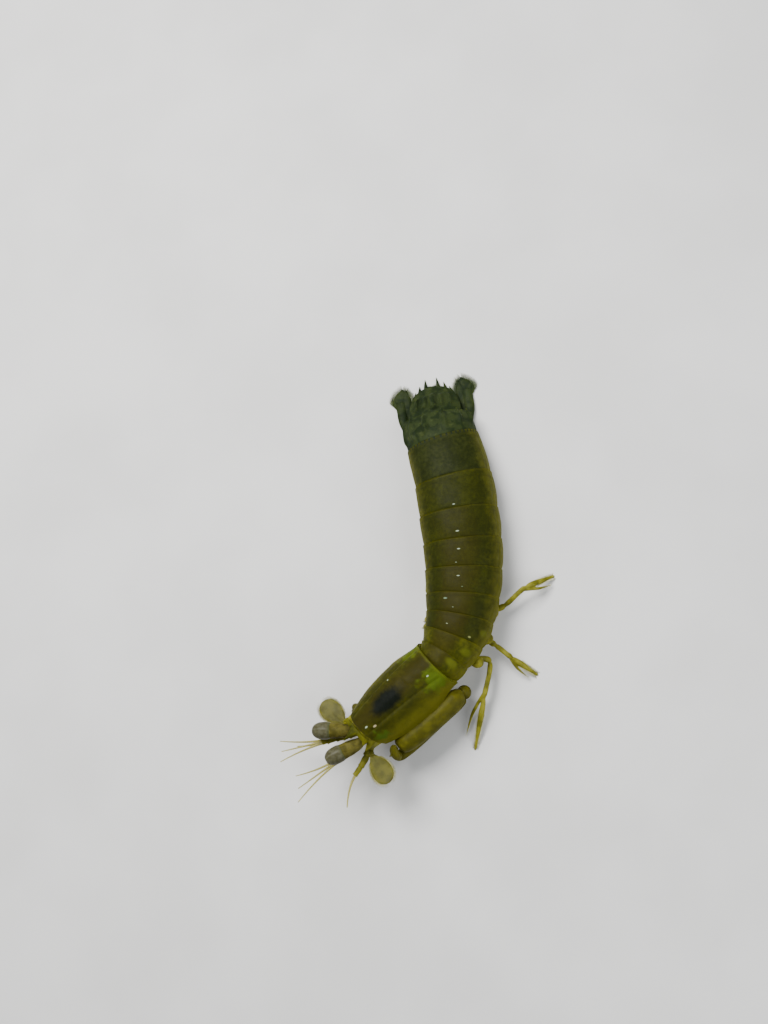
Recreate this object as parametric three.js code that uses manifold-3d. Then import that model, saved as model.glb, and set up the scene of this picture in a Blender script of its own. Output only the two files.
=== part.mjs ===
// A green smasher mantis shrimp at life size, standing on its walking legs and tail fan.
// Millimetres, +Z up. The body lies along Y with the tail towards +Y, and its head is turned to -X.
// The animal is laid out along a curved line of joints from the telson's tip to the rostrum. Each body
// ring, plate and limb is placed from the joints' sizes, and parts that touch keep a gap of GAP.
import * as THREE from "three";
import { mergeVertices } from "three/addons/utils/BufferGeometryUtils.js";
import Module from "manifold-3d";

const wasm = await Module();
wasm.setup();

const GAP = 0.3;
const SIDES = { left: 1, right: -1 };

// The joints from tail to head: the part in front of each joint, its length and heading seen from above,
// and at the joint the height of the side edges, the half width, the height of the arch and the roll.
const JOINTS = [
  { part: "telson", length: 9.7, heading: -86.5, base: 1.0, half: 4.0, arch: 1.4, roll: 0 },
  { part: "abdomen_6", length: 5.8, heading: -74, base: 2.0, half: 6.7, arch: 4.6, roll: 0 },
  { part: "abdomen_5", length: 8.6, heading: -75, base: 2.9, half: 7.5, arch: 5.8, roll: 0 },
  { part: "abdomen_4", length: 7.0, heading: -81, base: 3.8, half: 7.9, arch: 6.5, roll: 0 },
  { part: "abdomen_3", length: 6.0, heading: -83, base: 4.4, half: 8.0, arch: 6.8, roll: 0 },
  { part: "abdomen_2", length: 5.7, heading: -88, base: 4.7, half: 7.9, arch: 6.9, roll: 0 },
  { part: "abdomen_1", length: 5.5, heading: -92, base: 4.8, half: 7.7, arch: 6.9, roll: 1 },
  { part: "thorax_8", length: 4.3, heading: -97, base: 5.2, half: 7.3, arch: 6.8, roll: 3 },
  { part: "thorax_7", length: 4.2, heading: -107, base: 5.6, half: 6.8, arch: 6.7, roll: 5 },
  { part: "thorax_6", length: 3.8, heading: -117, base: 6.0, half: 6.2, arch: 6.4, roll: 8 },
  { part: "thorax_5", length: 2.8, heading: -128, base: 6.4, half: 5.3, arch: 5.7, roll: 10 },
  { part: "carapace", length: 19.2, heading: -138, base: 6.9, half: 4.9, arch: 5.4, roll: 12 },
  { part: "rostral_plate", length: 3.2, heading: -148, base: 7.8, half: 4.6, arch: 5.4, roll: 12 },
  { part: "tip", base: 8.0, half: 3.0, arch: 5.0, roll: 12 },
];
const PARTS = JOINTS.map((joint) => joint.part);

// Body rings of the thorax and abdomen.
const RING = { squareness: 0.87, pleura: 1.3, step: 0.2, swell: 0.15, columns: 16, rows: 3 };
const ABDOMEN_STERNUM = 1.2;
const THORAX_STERNUM = 0.5;

// The carapace, an arched shield over the head, in its own straight frame.
const SHIELD = { length: 19.2, rear: 7.0, middle: 6.6, front: 4.8, height: 7.4, edge: 1.0, thick: 0.9,
  groove: 0.3, grooveRear: 3.9, grooveFront: 2.4, rearLobe: 1.2, frontLobe: 1.8 };
const CORE = { rear: 3.9, front: 3.4, bottom: -1.9, front_x: 10.2, rear_x: -9.0 };
const ROSTRUM = { half: 3.1, spine: 3.4, corner: 0.9, thick: 0.6, lift: 5.15 };

const EYE = { stalkLength: 4.3, stalkRadius: 1.35, corneaLength: 3.5, corneaRadius: 1.7 };
const SCALE = { length: 7.8, width: 4.4, thick: 0.5 };
const CLAW = { meralDepth: 1.75, palmDepth: 1.1, palmWidth: 1.15, club: 1.7 };
const FLAP = { length: 5.4, width: 3.3, thick: 0.55 };
const TELSON = { length: 9.7, half: 5.5, frontHeight: 3.4, frontFloor: 1.6, thick: 0.7 };

const radians = THREE.MathUtils.degToRad;
const V = (x, y, z) => new THREE.Vector3(x, y, z);

// The line of joints, starting at the telson's tip.
const jointPoints = [];
const walk = V(0, 0, 0);
for (const joint of JOINTS) {
  jointPoints.push(V(walk.x, walk.y, joint.base));
  walk.x += (joint.length ?? 0) * Math.cos(radians(joint.heading ?? 0));
  walk.y += (joint.length ?? 0) * Math.sin(radians(joint.heading ?? 0));
}
const midline = new THREE.CatmullRomCurve3(jointPoints, false, "centripetal");
const girths = new THREE.CatmullRomCurve3(
  JOINTS.map((joint) => V(joint.half, joint.arch, joint.roll)), false, "catmullrom", 0.5);

// A frame on the midline, where t counts joints from the telson's tip: forward, left and up.
function frameAt(t) {
  const share = t / (JOINTS.length - 1);
  const origin = midline.getPoint(share);
  const forward = midline.getTangent(share);
  const girth = girths.getPoint(share);
  const level = V(0, 0, 1).cross(forward).normalize();
  const upright = forward.clone().cross(level);
  const roll = radians(girth.z);
  const left = level.clone().multiplyScalar(Math.cos(roll)).addScaledVector(upright, Math.sin(roll));
  const up = upright.multiplyScalar(Math.cos(roll)).addScaledVector(level, -Math.sin(roll));
  return { origin, forward, left, up, half: girth.x, arch: girth.y };
}

// The point of a frame that lies so far forward, left and up of its origin.
function at(frame, ahead, aside, above) {
  return frame.origin.clone().addScaledVector(frame.forward, ahead)
    .addScaledVector(frame.left, aside).addScaledVector(frame.up, above);
}

// The point of a frame's cross plane that lies at a given height above the floor.
function atHeight(frame, ahead, aside, height) {
  const level = at(frame, ahead, aside, 0);
  return level.addScaledVector(frame.up, (height - level.z) / frame.up.z);
}

// Turns points and triangles into a closed solid that faces out.
function solidFrom(points, triangles) {
  const build = (index) => new wasm.Manifold(new wasm.Mesh({
    numProp: 3,
    vertProperties: new Float32Array(points.flatMap((p) => [p.x, p.y, p.z])),
    triVerts: new Uint32Array(index.flat()),
  }));
  const made = build(triangles);
  return made.volume() > 0 ? made : build(triangles.map(([a, b, c]) => [a, c, b]));
}

// A closed plate between an upper and a lower surface, each a function of u and v from 0 to 1.
function plate(columns, rows, upper, lower) {
  const points = [];
  for (const surface of [upper, lower]) {
    for (let j = 0; j <= rows; j++) {
      for (let i = 0; i <= columns; i++) points.push(surface(i / columns, j / rows));
    }
  }
  const layer = (columns + 1) * (rows + 1);
  const id = (side, i, j) => side * layer + j * (columns + 1) + i;
  const faces = [];
  const quad = (a, b, c, d) => faces.push([a, b, c], [a, c, d]);
  for (let j = 0; j < rows; j++) {
    for (let i = 0; i < columns; i++) {
      quad(id(0, i, j), id(0, i + 1, j), id(0, i + 1, j + 1), id(0, i, j + 1));
      quad(id(1, i, j), id(1, i, j + 1), id(1, i + 1, j + 1), id(1, i + 1, j));
    }
    quad(id(0, 0, j), id(0, 0, j + 1), id(1, 0, j + 1), id(1, 0, j));
    quad(id(0, columns, j), id(1, columns, j), id(1, columns, j + 1), id(0, columns, j + 1));
  }
  for (let i = 0; i < columns; i++) {
    quad(id(0, i, 0), id(1, i, 0), id(1, i + 1, 0), id(0, i + 1, 0));
    quad(id(0, i, rows), id(0, i + 1, rows), id(1, i + 1, rows), id(1, i, rows));
  }
  return solidFrom(points, faces);
}

// A closed skin over rings that have the same number of points, with a fan over each end.
function loft(rings) {
  const count = rings[0].length;
  const points = rings.flat();
  const faces = [];
  for (let k = 0; k + 1 < rings.length; k++) {
    for (let i = 0; i < count; i++) {
      const next = (i + 1) % count;
      faces.push([k * count + i, k * count + next, (k + 1) * count + next]);
      faces.push([k * count + i, (k + 1) * count + next, (k + 1) * count + i]);
    }
  }
  for (const [k, flip] of [[0, true], [rings.length - 1, false]]) {
    const centre = rings[k].reduce((sum, p) => sum.add(p), V(0, 0, 0)).divideScalar(count);
    points.push(centre);
    for (let i = 0; i < count; i++) {
      const next = (i + 1) % count;
      const edge = [k * count + i, k * count + next];
      faces.push(flip ? [points.length - 1, edge[1], edge[0]] : [points.length - 1, ...edge]);
    }
  }
  return solidFrom(points, faces);
}

// A limb over stations { p, wide, deep }: wide is the radius to the side, deep the radius up and down.
// A station's normal, where it has one, sets the plane of its ring.
function limb(stations, sides = 8, upward = V(0, 0, 1)) {
  const last = stations.length - 1;
  const alongs = stations.map((station, k) => station.normal ??
    stations[Math.min(last, k + 1)].p.clone().sub(stations[Math.max(0, k - 1)].p).normalize());
  const levels = alongs.map((along) => upward.clone().cross(along));
  const lengths = levels.map((level) => level.length());
  const start = lengths.indexOf(Math.max(...lengths));
  const besides = [];
  besides[start] = levels[start].normalize();
  const carry = (from, to) => {
    const carried = besides[from].clone().addScaledVector(alongs[to], -besides[from].dot(alongs[to]));
    carried.normalize();
    if (levels[to].dot(carried) < 0) levels[to].negate();
    besides[to] = lengths[to] > 0.6 ? levels[to].normalize() : carried.add(levels[to]).normalize();
  };
  for (let k = start + 1; k <= last; k++) carry(k - 1, k);
  for (let k = start - 1; k >= 0; k--) carry(k + 1, k);
  return loft(stations.map((station, k) => {
    const over = alongs[k].clone().cross(besides[k]).normalize();
    return Array.from({ length: sides }, (_, i) => {
      const turn = (2 * Math.PI * (i + 0.5)) / sides;
      return station.p.clone().addScaledVector(besides[k], station.wide * Math.cos(turn))
        .addScaledVector(over, station.deep * Math.sin(turn));
    });
  }));
}

// Stations of a jointed limb: each segment is narrow at its joints and fuller between them.
function segments(joints, widths, depths) {
  const stations = [];
  const NECK = 0.78;
  joints.forEach((p, k) => {
    stations.push({ p, wide: widths[k] * NECK, deep: depths[k] * NECK });
    if (k + 1 === joints.length) return;
    for (const share of [0.25, 0.8]) {
      stations.push({
        p: p.clone().lerp(joints[k + 1], share),
        wide: THREE.MathUtils.lerp(widths[k], widths[k + 1], share),
        deep: THREE.MathUtils.lerp(depths[k], depths[k + 1], share),
      });
    }
  });
  return stations;
}

// An ellipsoid with its axes along a frame's forward, left and up.
function ellipsoid(frame, centre, radii, columns = 10, rows = 6) {
  const geometry = new THREE.SphereGeometry(1, columns, rows);
  geometry.deleteAttribute("normal");
  geometry.deleteAttribute("uv");
  const ball = mergeVertices(geometry);
  const source = ball.attributes.position;
  const points = [];
  for (let i = 0; i < source.count; i++) {
    const q = V().fromBufferAttribute(source, i);
    points.push(centre.clone().addScaledVector(frame.forward, q.y * radii[0])
      .addScaledVector(frame.left, q.x * radii[1]).addScaledVector(frame.up, q.z * radii[2]));
  }
  const faces = [];
  for (let i = 0; i < ball.index.count; i += 3) {
    faces.push([ball.index.getX(i), ball.index.getX(i + 1), ball.index.getX(i + 2)]);
  }
  return solidFrom(points, faces);
}

// A flat leaf with rounded sides from root to tip: face is the direction of its thickness.
function leaf(root, tip, face, width, thick, steps = 6, rootShare = 0.35) {
  const along = tip.clone().sub(root);
  const side = face.clone().cross(along).normalize();
  const over = along.clone().cross(side).normalize();
  const spread = (v) =>
    width / 2 * Math.max(0.12, rootShare * (1 - v) + Math.sin(Math.PI * v ** 0.8) ** 0.8 * 0.9);
  const layer = (height) => (u, v) => root.clone().addScaledVector(along, v)
    .addScaledVector(side, (2 * u - 1) * spread(v)).addScaledVector(over, height);
  return plate(2, steps, layer(thick / 2), layer(-thick / 2));
}

// A spine: a slim cone from its root to its tip.
function spine(root, tip, radius, sides = 5) {
  return limb([{ p: root, wide: radius, deep: radius }, { p: tip, wide: 0.12, deep: 0.12 }], sides,
    V(0.13, 0.31, 0.94));
}

function join(solids) {
  const all = solids.reduce((sum, next) => sum.add(next));
  return all.decompose().sort((a, b) => b.volume() - a.volume())[0];
}

const MATERIALS = {
  shell: new THREE.MeshStandardMaterial({ color: 0x3c4a10, roughness: 0.35, metalness: 0 }),
  tail: new THREE.MeshStandardMaterial({ color: 0x26471c, roughness: 0.45, metalness: 0 }),
  limb: new THREE.MeshStandardMaterial({ color: 0x7d8c1b, roughness: 0.4, metalness: 0 }),
  cornea: new THREE.MeshStandardMaterial({ color: 0x53604a, roughness: 0.2, metalness: 0 }),
};
const animal = new THREE.Group();

function add(name, solid, material) {
  const { numProp, numVert, vertProperties, triVerts } = solid.getMesh();
  const positions = new Float32Array(numVert * 3);
  for (let i = 0; i < numVert; i++) {
    positions.set(vertProperties.subarray(i * numProp, i * numProp + 3), i * 3);
  }
  const geometry = new THREE.BufferGeometry();
  geometry.setAttribute("position", new THREE.BufferAttribute(positions, 3));
  geometry.setIndex(new THREE.BufferAttribute(new Uint32Array(triVerts), 1));
  const mesh = new THREE.Mesh(geometry, material);
  mesh.name = name;
  animal.add(mesh);
}

// Body rings: an arch over a flat belly, with side edges that hang lower and rounded corners.
function bodyRing(k, belly) {
  const margin = GAP / 2 / JOINTS[k].length;
  const section = (v) => {
    const frame = frameAt(k + margin + (1 - 2 * margin) * v);
    const girth = frame.half + RING.step * (0.5 - v) + RING.swell * 4 * v * (1 - v);
    return { frame, girth, lift: 0.5 * Math.abs(2 * v - 1) ** 3 };
  };
  const upper = (u, v) => {
    const { frame, girth, lift } = section(v);
    const angle = (u - 0.5) * Math.PI;
    const aside = girth * Math.sign(angle) * Math.abs(Math.sin(angle)) ** RING.squareness;
    const rise = Math.max(0, Math.cos(angle)) ** RING.squareness;
    return at(frame, 0, aside, lift * (1 - rise) + (frame.arch + RING.swell * 4 * v * (1 - v)) * rise);
  };
  const lower = (u, v) => {
    const { frame, girth, lift } = section(v);
    const across = 2 * u - 1;
    const flat = girth - RING.pleura;
    const edge = Math.max(0, (Math.abs(across) - 0.75) / 0.25);
    const aside = Math.sign(across) * (Math.abs(across) < 0.75
      ? flat * Math.abs(across) / 0.75 : flat + (girth - 0.45 - flat) * edge);
    return at(frame, 0, aside, THREE.MathUtils.lerp(belly, lift, edge));
  };
  return plate(RING.columns, RING.rows, upper, lower);
}
for (const [k, part] of PARTS.entries()) {
  if (part.startsWith("thorax")) add(part, bodyRing(k, THORAX_STERNUM), MATERIALS.shell);
  if (part.startsWith("abdomen") && part !== "abdomen_6") {
    add(part, bodyRing(k, ABDOMEN_STERNUM), MATERIALS.shell);
  }
}

// The last ring of the abdomen has six raised keels that end in spines.
const LAST = PARTS.indexOf("abdomen_6");
const keels = [-0.78, -0.46, -0.15, 0.15, 0.46, 0.78].map((share) => {
  const point = (t, rise) => {
    const frame = frameAt(LAST + t);
    const angle = share * Math.PI / 2;
    const aside = frame.half * Math.sin(angle);
    return at(frame, 0, aside, frame.arch * Math.cos(angle) ** RING.squareness + rise);
  };
  return limb([
    { p: point(0.72, -0.5), wide: 0.35, deep: 0.35 },
    { p: point(0.4, 0), wide: 0.6, deep: 0.6 },
    { p: point(0.12, 0.1), wide: 0.45, deep: 0.45 },
    { p: point(0.06, 0.15), wide: 0.15, deep: 0.15 },
  ], 6);
});
add("abdomen_6", join([bodyRing(LAST, ABDOMEN_STERNUM), ...keels]), MATERIALS.tail);

// The telson: a shield with swollen keels and three pairs of marginal teeth, flat on the floor behind.
const tail = frameAt(1 - GAP / 2 / TELSON.length);
const telsonHalf = (v) => TELSON.half * (0.95 + 0.25 * v - 0.42 * v ** 2);
const telsonLength = (across) => TELSON.length * (0.8 - 0.16 * across ** 2);
const telsonFloor = (v) => Math.max(0, TELSON.frontFloor * (1 - v / 0.9));
const telsonTop = (across, v) => telsonFloor(v) + TELSON.thick
  + (TELSON.frontHeight - TELSON.thick) * (1 - 0.78 * v) * Math.sqrt(1 - 0.85 * across ** 2);
const telsonPoint = (across, v, height) =>
  atHeight(tail, -v * telsonLength(across), across * telsonHalf(v), height);
const telsonShield = plate(12, 6,
  (u, v) => telsonPoint(2 * u - 1, v, telsonTop(2 * u - 1, v)),
  (u, v) => telsonPoint(2 * u - 1, v, telsonFloor(v)));
const bosses = [[0, 0.12, 0.85, 0.75], [-0.33, 0.2, 0.8, 0.55], [0.33, 0.2, 0.8, 0.55],
  [-0.68, 0.2, 0.85, 0.5], [0.68, 0.2, 0.85, 0.5]].map(([across, from, to, radius]) => {
  const point = (v, rise) => telsonPoint(across, v, telsonTop(across, v) + rise);
  return limb([
    { p: point(from, -0.4), wide: radius * 0.5, deep: radius * 0.5 },
    { p: point(from * 0.7 + to * 0.3, 0.05), wide: radius, deep: radius },
    { p: point(from * 0.3 + to * 0.7, 0.1), wide: radius * 0.9, deep: radius * 0.9 },
    { p: point(to, -0.1), wide: radius * 0.3, deep: radius * 0.3 },
  ], 6);
});
const teeth = [[0.3, 2.3, 0.62], [0.62, 1.5, 0.58], [0.86, 0.9, 0.5]].flatMap(([across, length, radius]) =>
  Object.values(SIDES).map((side) => {
    const root = telsonPoint(side * across, 0.84, radius + 0.02);
    const tip = telsonPoint(side * (across - 0.02), 1, 0).addScaledVector(tail.forward, -length).setZ(0.35);
    return spine(root, tip, radius, 6);
  }));
add("telson", join([telsonShield, ...bosses, ...teeth]), MATERIALS.tail);

// Tail fans: a stalk under the last ring, an outer blade with a row of spines and an oval end that
// lies on the floor, an inner blade, and a forked spine below them. Heights are above the floor.
const rump = frameAt(LAST + 0.3);
for (const [side, sign] of Object.entries(SIDES)) {
  const point = (ahead, aside, height) => atHeight(tail, ahead + 1.9, sign * aside, height);
  const stalk = limb([
    { p: at(rump, 0.2, sign * 4.6, ABDOMEN_STERNUM - GAP), wide: 0.8, deep: 0.8,
      normal: rump.up.clone().negate() },
    { p: point(-0.3, 6.5, 1.4), wide: 0.6, deep: 0.6 },
    { p: point(-1.6, 6.9, 0.95), wide: 0.7, deep: 0.6 },
    { p: point(-3.4, 7.1, 0.7), wide: 0.65, deep: 0.45 },
  ], 8);
  const outer = limb([
    { p: point(-1.2, 7.0, 0.95), wide: 0.6, deep: 0.4 },
    { p: point(-3.6, 7.2, 0.7), wide: 0.9, deep: 0.42 },
    { p: point(-7.6, 7.1, 0.42), wide: 0.95, deep: 0.35 },
    { p: point(-8.0, 7.1, 0.4), wide: 0.4, deep: 0.27 },
  ], 8);
  const flat = V(0, 0, 1);
  const paddle = leaf(point(-6.6, 7.0, FLAP.thick / 2), point(-10.6, 6.4, FLAP.thick / 2), flat, 3.0,
    FLAP.thick, 6, 0.6);
  const inner = leaf(point(-2.6, 6.7, 0.36), point(-9.8, 5.9, 0.3), flat, 1.7, 0.5, 6, 0.6);
  const fork = spine(point(-1.8, 6.7, 0.7), point(-8.6, 6.4, 0.3), 0.45, 5);
  const spines = Array.from({ length: 8 }, (_, i) => {
    const share = (i + 1) / 8;
    const start = point(-2.6 - 4.8 * share, 7.45 + 0.2 * share, 0.8 - 0.35 * share);
    const end = point(-3.6 - 5.6 * share, 8.0 + 0.2 * share, 0.7 - 0.35 * share);
    return spine(start, end, 0.3, 4);
  });
  add("uropod_" + side, join([stalk, outer, paddle, inner, fork, ...spines]), MATERIALS.tail);
}

// The head's own straight frame, at the middle of the carapace.
const HEAD = PARTS.indexOf("carapace");
const rearPoint = jointPoints[HEAD];
const frontPoint = jointPoints[HEAD + 1];
const headForward = frontPoint.clone().sub(rearPoint).normalize();
const headLevel = V(0, 0, 1).cross(headForward).normalize();
const headRoll = radians(JOINTS[HEAD].roll);
const headUpright = headForward.clone().cross(headLevel);
const head = {
  origin: rearPoint.clone().lerp(frontPoint, 0.5),
  forward: headForward,
  left: headLevel.clone().multiplyScalar(Math.cos(headRoll))
    .addScaledVector(headUpright, Math.sin(headRoll)),
  up: headUpright.clone().multiplyScalar(Math.cos(headRoll))
    .addScaledVector(headLevel, -Math.sin(headRoll)),
};
const headDown = head.up.clone().negate();
const inHead = (ahead, aside, above) => at(head, ahead, aside, above);

// Carapace: u runs from the right edge to the left, v from the rear edge to the front.
const shieldHalf = (v) => {
  const rearPart = THREE.MathUtils.lerp(SHIELD.rear, SHIELD.middle, Math.min(1, v / 0.4));
  const narrowing = Math.max(0, (v - 0.4) / 0.6) ** 2;
  return THREE.MathUtils.lerp(rearPart, SHIELD.front, narrowing);
};
const shieldHeight = (v) => SHIELD.height - 0.6 * (1 - v) ** 2 - 1.5 * v ** 3;
function shieldPoint(u, v, inset) {
  const half = shieldHalf(v) - inset;
  const height = shieldHeight(v) - inset;
  const limit = Math.acos(SHIELD.edge / height);
  const angle = (2 * u - 1) * limit;
  const lobe = SHIELD.rearLobe * (1 - v) ** 2 + SHIELD.frontLobe * v ** 3;
  const ahead = (v - 0.5) * SHIELD.length - lobe * Math.abs(2 * u - 1) ** 2.4 - 0.15 * v;
  const aside = half * Math.sin(angle);
  const grooveAt = THREE.MathUtils.lerp(SHIELD.grooveRear, SHIELD.grooveFront, v);
  const dip = inset ? 0 : SHIELD.groove * Math.max(0, 1 - Math.abs(Math.abs(aside) - grooveAt) / 0.55);
  return inHead(ahead, aside, height * Math.cos(angle) - dip);
}
add("carapace", plate(22, 8, (u, v) => shieldPoint(u, v, 0), (u, v) => shieldPoint(u, v, SHIELD.thick)),
  MATERIALS.shell);

// Rostral plate: a flat plate with a middle spine and two corner spines.
const plateOutline = new THREE.Shape([
  [-ROSTRUM.half, 0], [ROSTRUM.half, 0], [ROSTRUM.half + 0.25, ROSTRUM.corner],
  [ROSTRUM.half * 0.45, ROSTRUM.corner * 0.85], [0.75, 1.25], [0.28, 2.5], [0, ROSTRUM.spine],
  [-0.28, 2.5], [-0.75, 1.25], [-ROSTRUM.half * 0.45, ROSTRUM.corner * 0.85],
  [-ROSTRUM.half - 0.25, ROSTRUM.corner],
].map(([x, y]) => new THREE.Vector2(x, y)));
const plateGeometry = new THREE.ExtrudeGeometry(plateOutline, { depth: ROSTRUM.thick, bevelEnabled: false });
plateGeometry.deleteAttribute("normal");
plateGeometry.deleteAttribute("uv");
const platePlain = mergeVertices(plateGeometry);
const platePoints = [];
for (let i = 0; i < platePlain.attributes.position.count; i++) {
  const q = V().fromBufferAttribute(platePlain.attributes.position, i);
  platePoints.push(inHead(SHIELD.length / 2 + GAP + q.y, -q.x,
    ROSTRUM.lift + q.z - 0.065 * q.x ** 2 - 0.12 * q.y));
}
const plateFaces = Array.from({ length: platePlain.index.count / 3 }, (_, i) =>
  [0, 1, 2].map((k) => platePlain.index.getX(3 * i + k)));
add("rostral_plate", solidFrom(platePoints, plateFaces), MATERIALS.shell);

// The head's body under the carapace, flat below and in front, where the limbs are rooted.
const coreRings = [0, 0.25, 0.5, 0.72, 0.88, 1].map((v) => {
  const ahead = THREE.MathUtils.lerp(CORE.rear_x, CORE.front_x, v);
  const half = THREE.MathUtils.lerp(CORE.rear, CORE.front, v);
  const shieldShare = Math.min(1, (ahead + SHIELD.length / 2) / SHIELD.length);
  const top = shieldHeight(shieldShare) - SHIELD.thick - GAP - 0.35 - (v === 1 ? 0.25 : 0);
  const bottom = CORE.bottom + (v === 1 ? 0.6 : 0);
  return [[-0.75, bottom], [-1, bottom + 1.2], [-0.97, bottom + 3.2], [-0.72, top - 1.1], [-0.4, top - 0.25],
    [0, top], [0.4, top - 0.25], [0.72, top - 1.1], [0.97, bottom + 3.2], [1, bottom + 1.2],
    [0.75, bottom]].map(([share, above]) => inHead(ahead, share * half, above));
});
add("cephalon", loft(coreRings), MATERIALS.limb);

// Mouth: upper lip and jaws below the head.
add("mouth", join([
  limb([{ p: inHead(3.6, 0, CORE.bottom - GAP), wide: 1.7, deep: 1.5, normal: headDown },
    { p: inHead(3.8, 0, CORE.bottom - 1.0), wide: 1.3, deep: 1.2, normal: headDown }], 8,
  head.forward),
  ellipsoid(head, inHead(5.0, 0, CORE.bottom - 1.1), [1.5, 0.9, 0.7], 8, 5),
  ellipsoid(head, inHead(3.0, 0.75, CORE.bottom - 1.2), [1.3, 0.75, 0.8], 8, 5),
  ellipsoid(head, inHead(3.0, -0.75, CORE.bottom - 1.2), [1.3, 0.75, 0.8], 8, 5),
]), MATERIALS.limb);

// Eyes: each stalk leaves the front of the head, and the cornea caps it.
const EYES = { left: { turn: -14, aside: 1.75 }, right: { turn: -42, aside: 1.75 } };
for (const [side, sign] of Object.entries(SIDES)) {
  const turn = radians(EYES[side].turn);
  const gaze = head.forward.clone().multiplyScalar(Math.cos(turn)).addScaledVector(head.left, Math.sin(turn))
    .addScaledVector(head.up, 0.1).normalize();
  const root = inHead(CORE.front_x + GAP, sign * EYES[side].aside, 3.15);
  const knee = root.clone().addScaledVector(head.forward, 0.9).addScaledVector(gaze, 0.3);
  const end = knee.clone().addScaledVector(gaze, EYE.stalkLength - 1.1);
  add("eyestalk_" + side, limb([
    { p: root, wide: 0.85, deep: 0.85, normal: head.forward },
    { p: knee, wide: EYE.stalkRadius * 0.85, deep: EYE.stalkRadius * 0.8 },
    { p: knee.clone().lerp(end, 0.5), wide: EYE.stalkRadius * 1.1, deep: EYE.stalkRadius },
    { p: end, wide: EYE.corneaRadius * 0.9, deep: EYE.corneaRadius * 0.86, normal: gaze },
  ], 10), MATERIALS.limb);
  const rim = end.clone().addScaledVector(gaze, GAP);
  add("cornea_" + side, limb([[0, 0.9], [0.2, 1.0], [0.5, 1.0], [0.78, 0.78], [0.94, 0.42], [1, 0.12]]
    .map(([share, size]) => ({
      p: rim.clone().addScaledVector(gaze, share * EYE.corneaLength),
      wide: EYE.corneaRadius * size,
      deep: EYE.corneaRadius * size * 0.95,
      normal: gaze,
    })), 12), MATERIALS.cornea);
}

// Antennules: a three-part stalk below each eye that carries three feelers.
const ANTENNULES = { left: [0.98, -0.12], right: [0.86, -0.5] };
for (const [side, sign] of Object.entries(SIDES)) {
  const [ahead, aside] = ANTENNULES[side];
  const aim = head.forward.clone().multiplyScalar(ahead).addScaledVector(head.left, aside).normalize();
  const root = inHead(CORE.front_x + GAP, sign * 1.15, 1.0);
  const step = (distance, drop) => root.clone().addScaledVector(head.forward, 0.4)
    .addScaledVector(aim, distance).addScaledVector(head.up, drop);
  const stalk = segments([root, step(1.4, 0), step(4.0, -0.1), step(7.0, -0.1)], [0.85, 0.75, 0.65, 0.6],
    [0.75, 0.65, 0.6, 0.5]);
  stalk[0].normal = head.forward;
  const feelers = [[10.5, 0.35, 1.5], [9.0, 0.0, 0.2], [8.0, -0.38, -1.2]].map(([length, shift, lift]) =>
    limb([0, 0.35, 0.7, 1].map((share) => ({
      p: step(6.7 + length * share, 0).addScaledVector(head.left, shift + shift * 7 * share ** 1.6)
        .addScaledVector(head.up, -0.1 + lift * share ** 1.5),
      wide: 0.3 - 0.14 * share,
      deep: 0.3 - 0.14 * share,
    })), 6));
  add("antennule_" + side, join([limb(stalk, 8), ...feelers]), MATERIALS.limb);
}

// Antennae: a stout stalk at each front corner with one feeler and an oval scale.
for (const [side, sign] of Object.entries(SIDES)) {
  const root = inHead(CORE.front_x + GAP, sign * 2.6, 0.0);
  const point = (ahead, aside, above) => inHead(CORE.front_x + ahead, sign * aside, above);
  const stalk = segments([root, point(1.9, 3.4, -0.4), point(4.2, 4.1, -0.6), point(6.2, 4.6, -0.6)],
    [0.75, 0.8, 0.65, 0.55], [0.6, 0.6, 0.55, 0.5]);
  stalk[0].normal = head.forward;
  const feeler = limb([0, 0.3, 0.65, 1].map((share) => ({
    p: point(5.9 + 5.5 * share, 4.55 + 2.2 * share + 1.6 * share ** 2, 1.2 * share - 1.4 * share ** 2 - 0.6),
    wide: 0.36 - 0.18 * share,
    deep: 0.36 - 0.18 * share,
  })), 6);
  add("antenna_" + side, join([limb(stalk, 8), feeler]), MATERIALS.limb);
  const scaleRoot = point(1.0, 4.4, 0.8);
  const scaleTip = scaleRoot.clone().addScaledVector(head.forward, SCALE.length * 0.2)
    .addScaledVector(head.left, sign * SCALE.length * 0.94);
  const tilted = head.up.clone().addScaledVector(head.left, sign * 0.25).normalize();
  add("antennal_scale_" + side, leaf(scaleRoot, scaleTip, tilted, SCALE.width, SCALE.thick, 8, 0.2),
    MATERIALS.limb);
}

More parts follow.
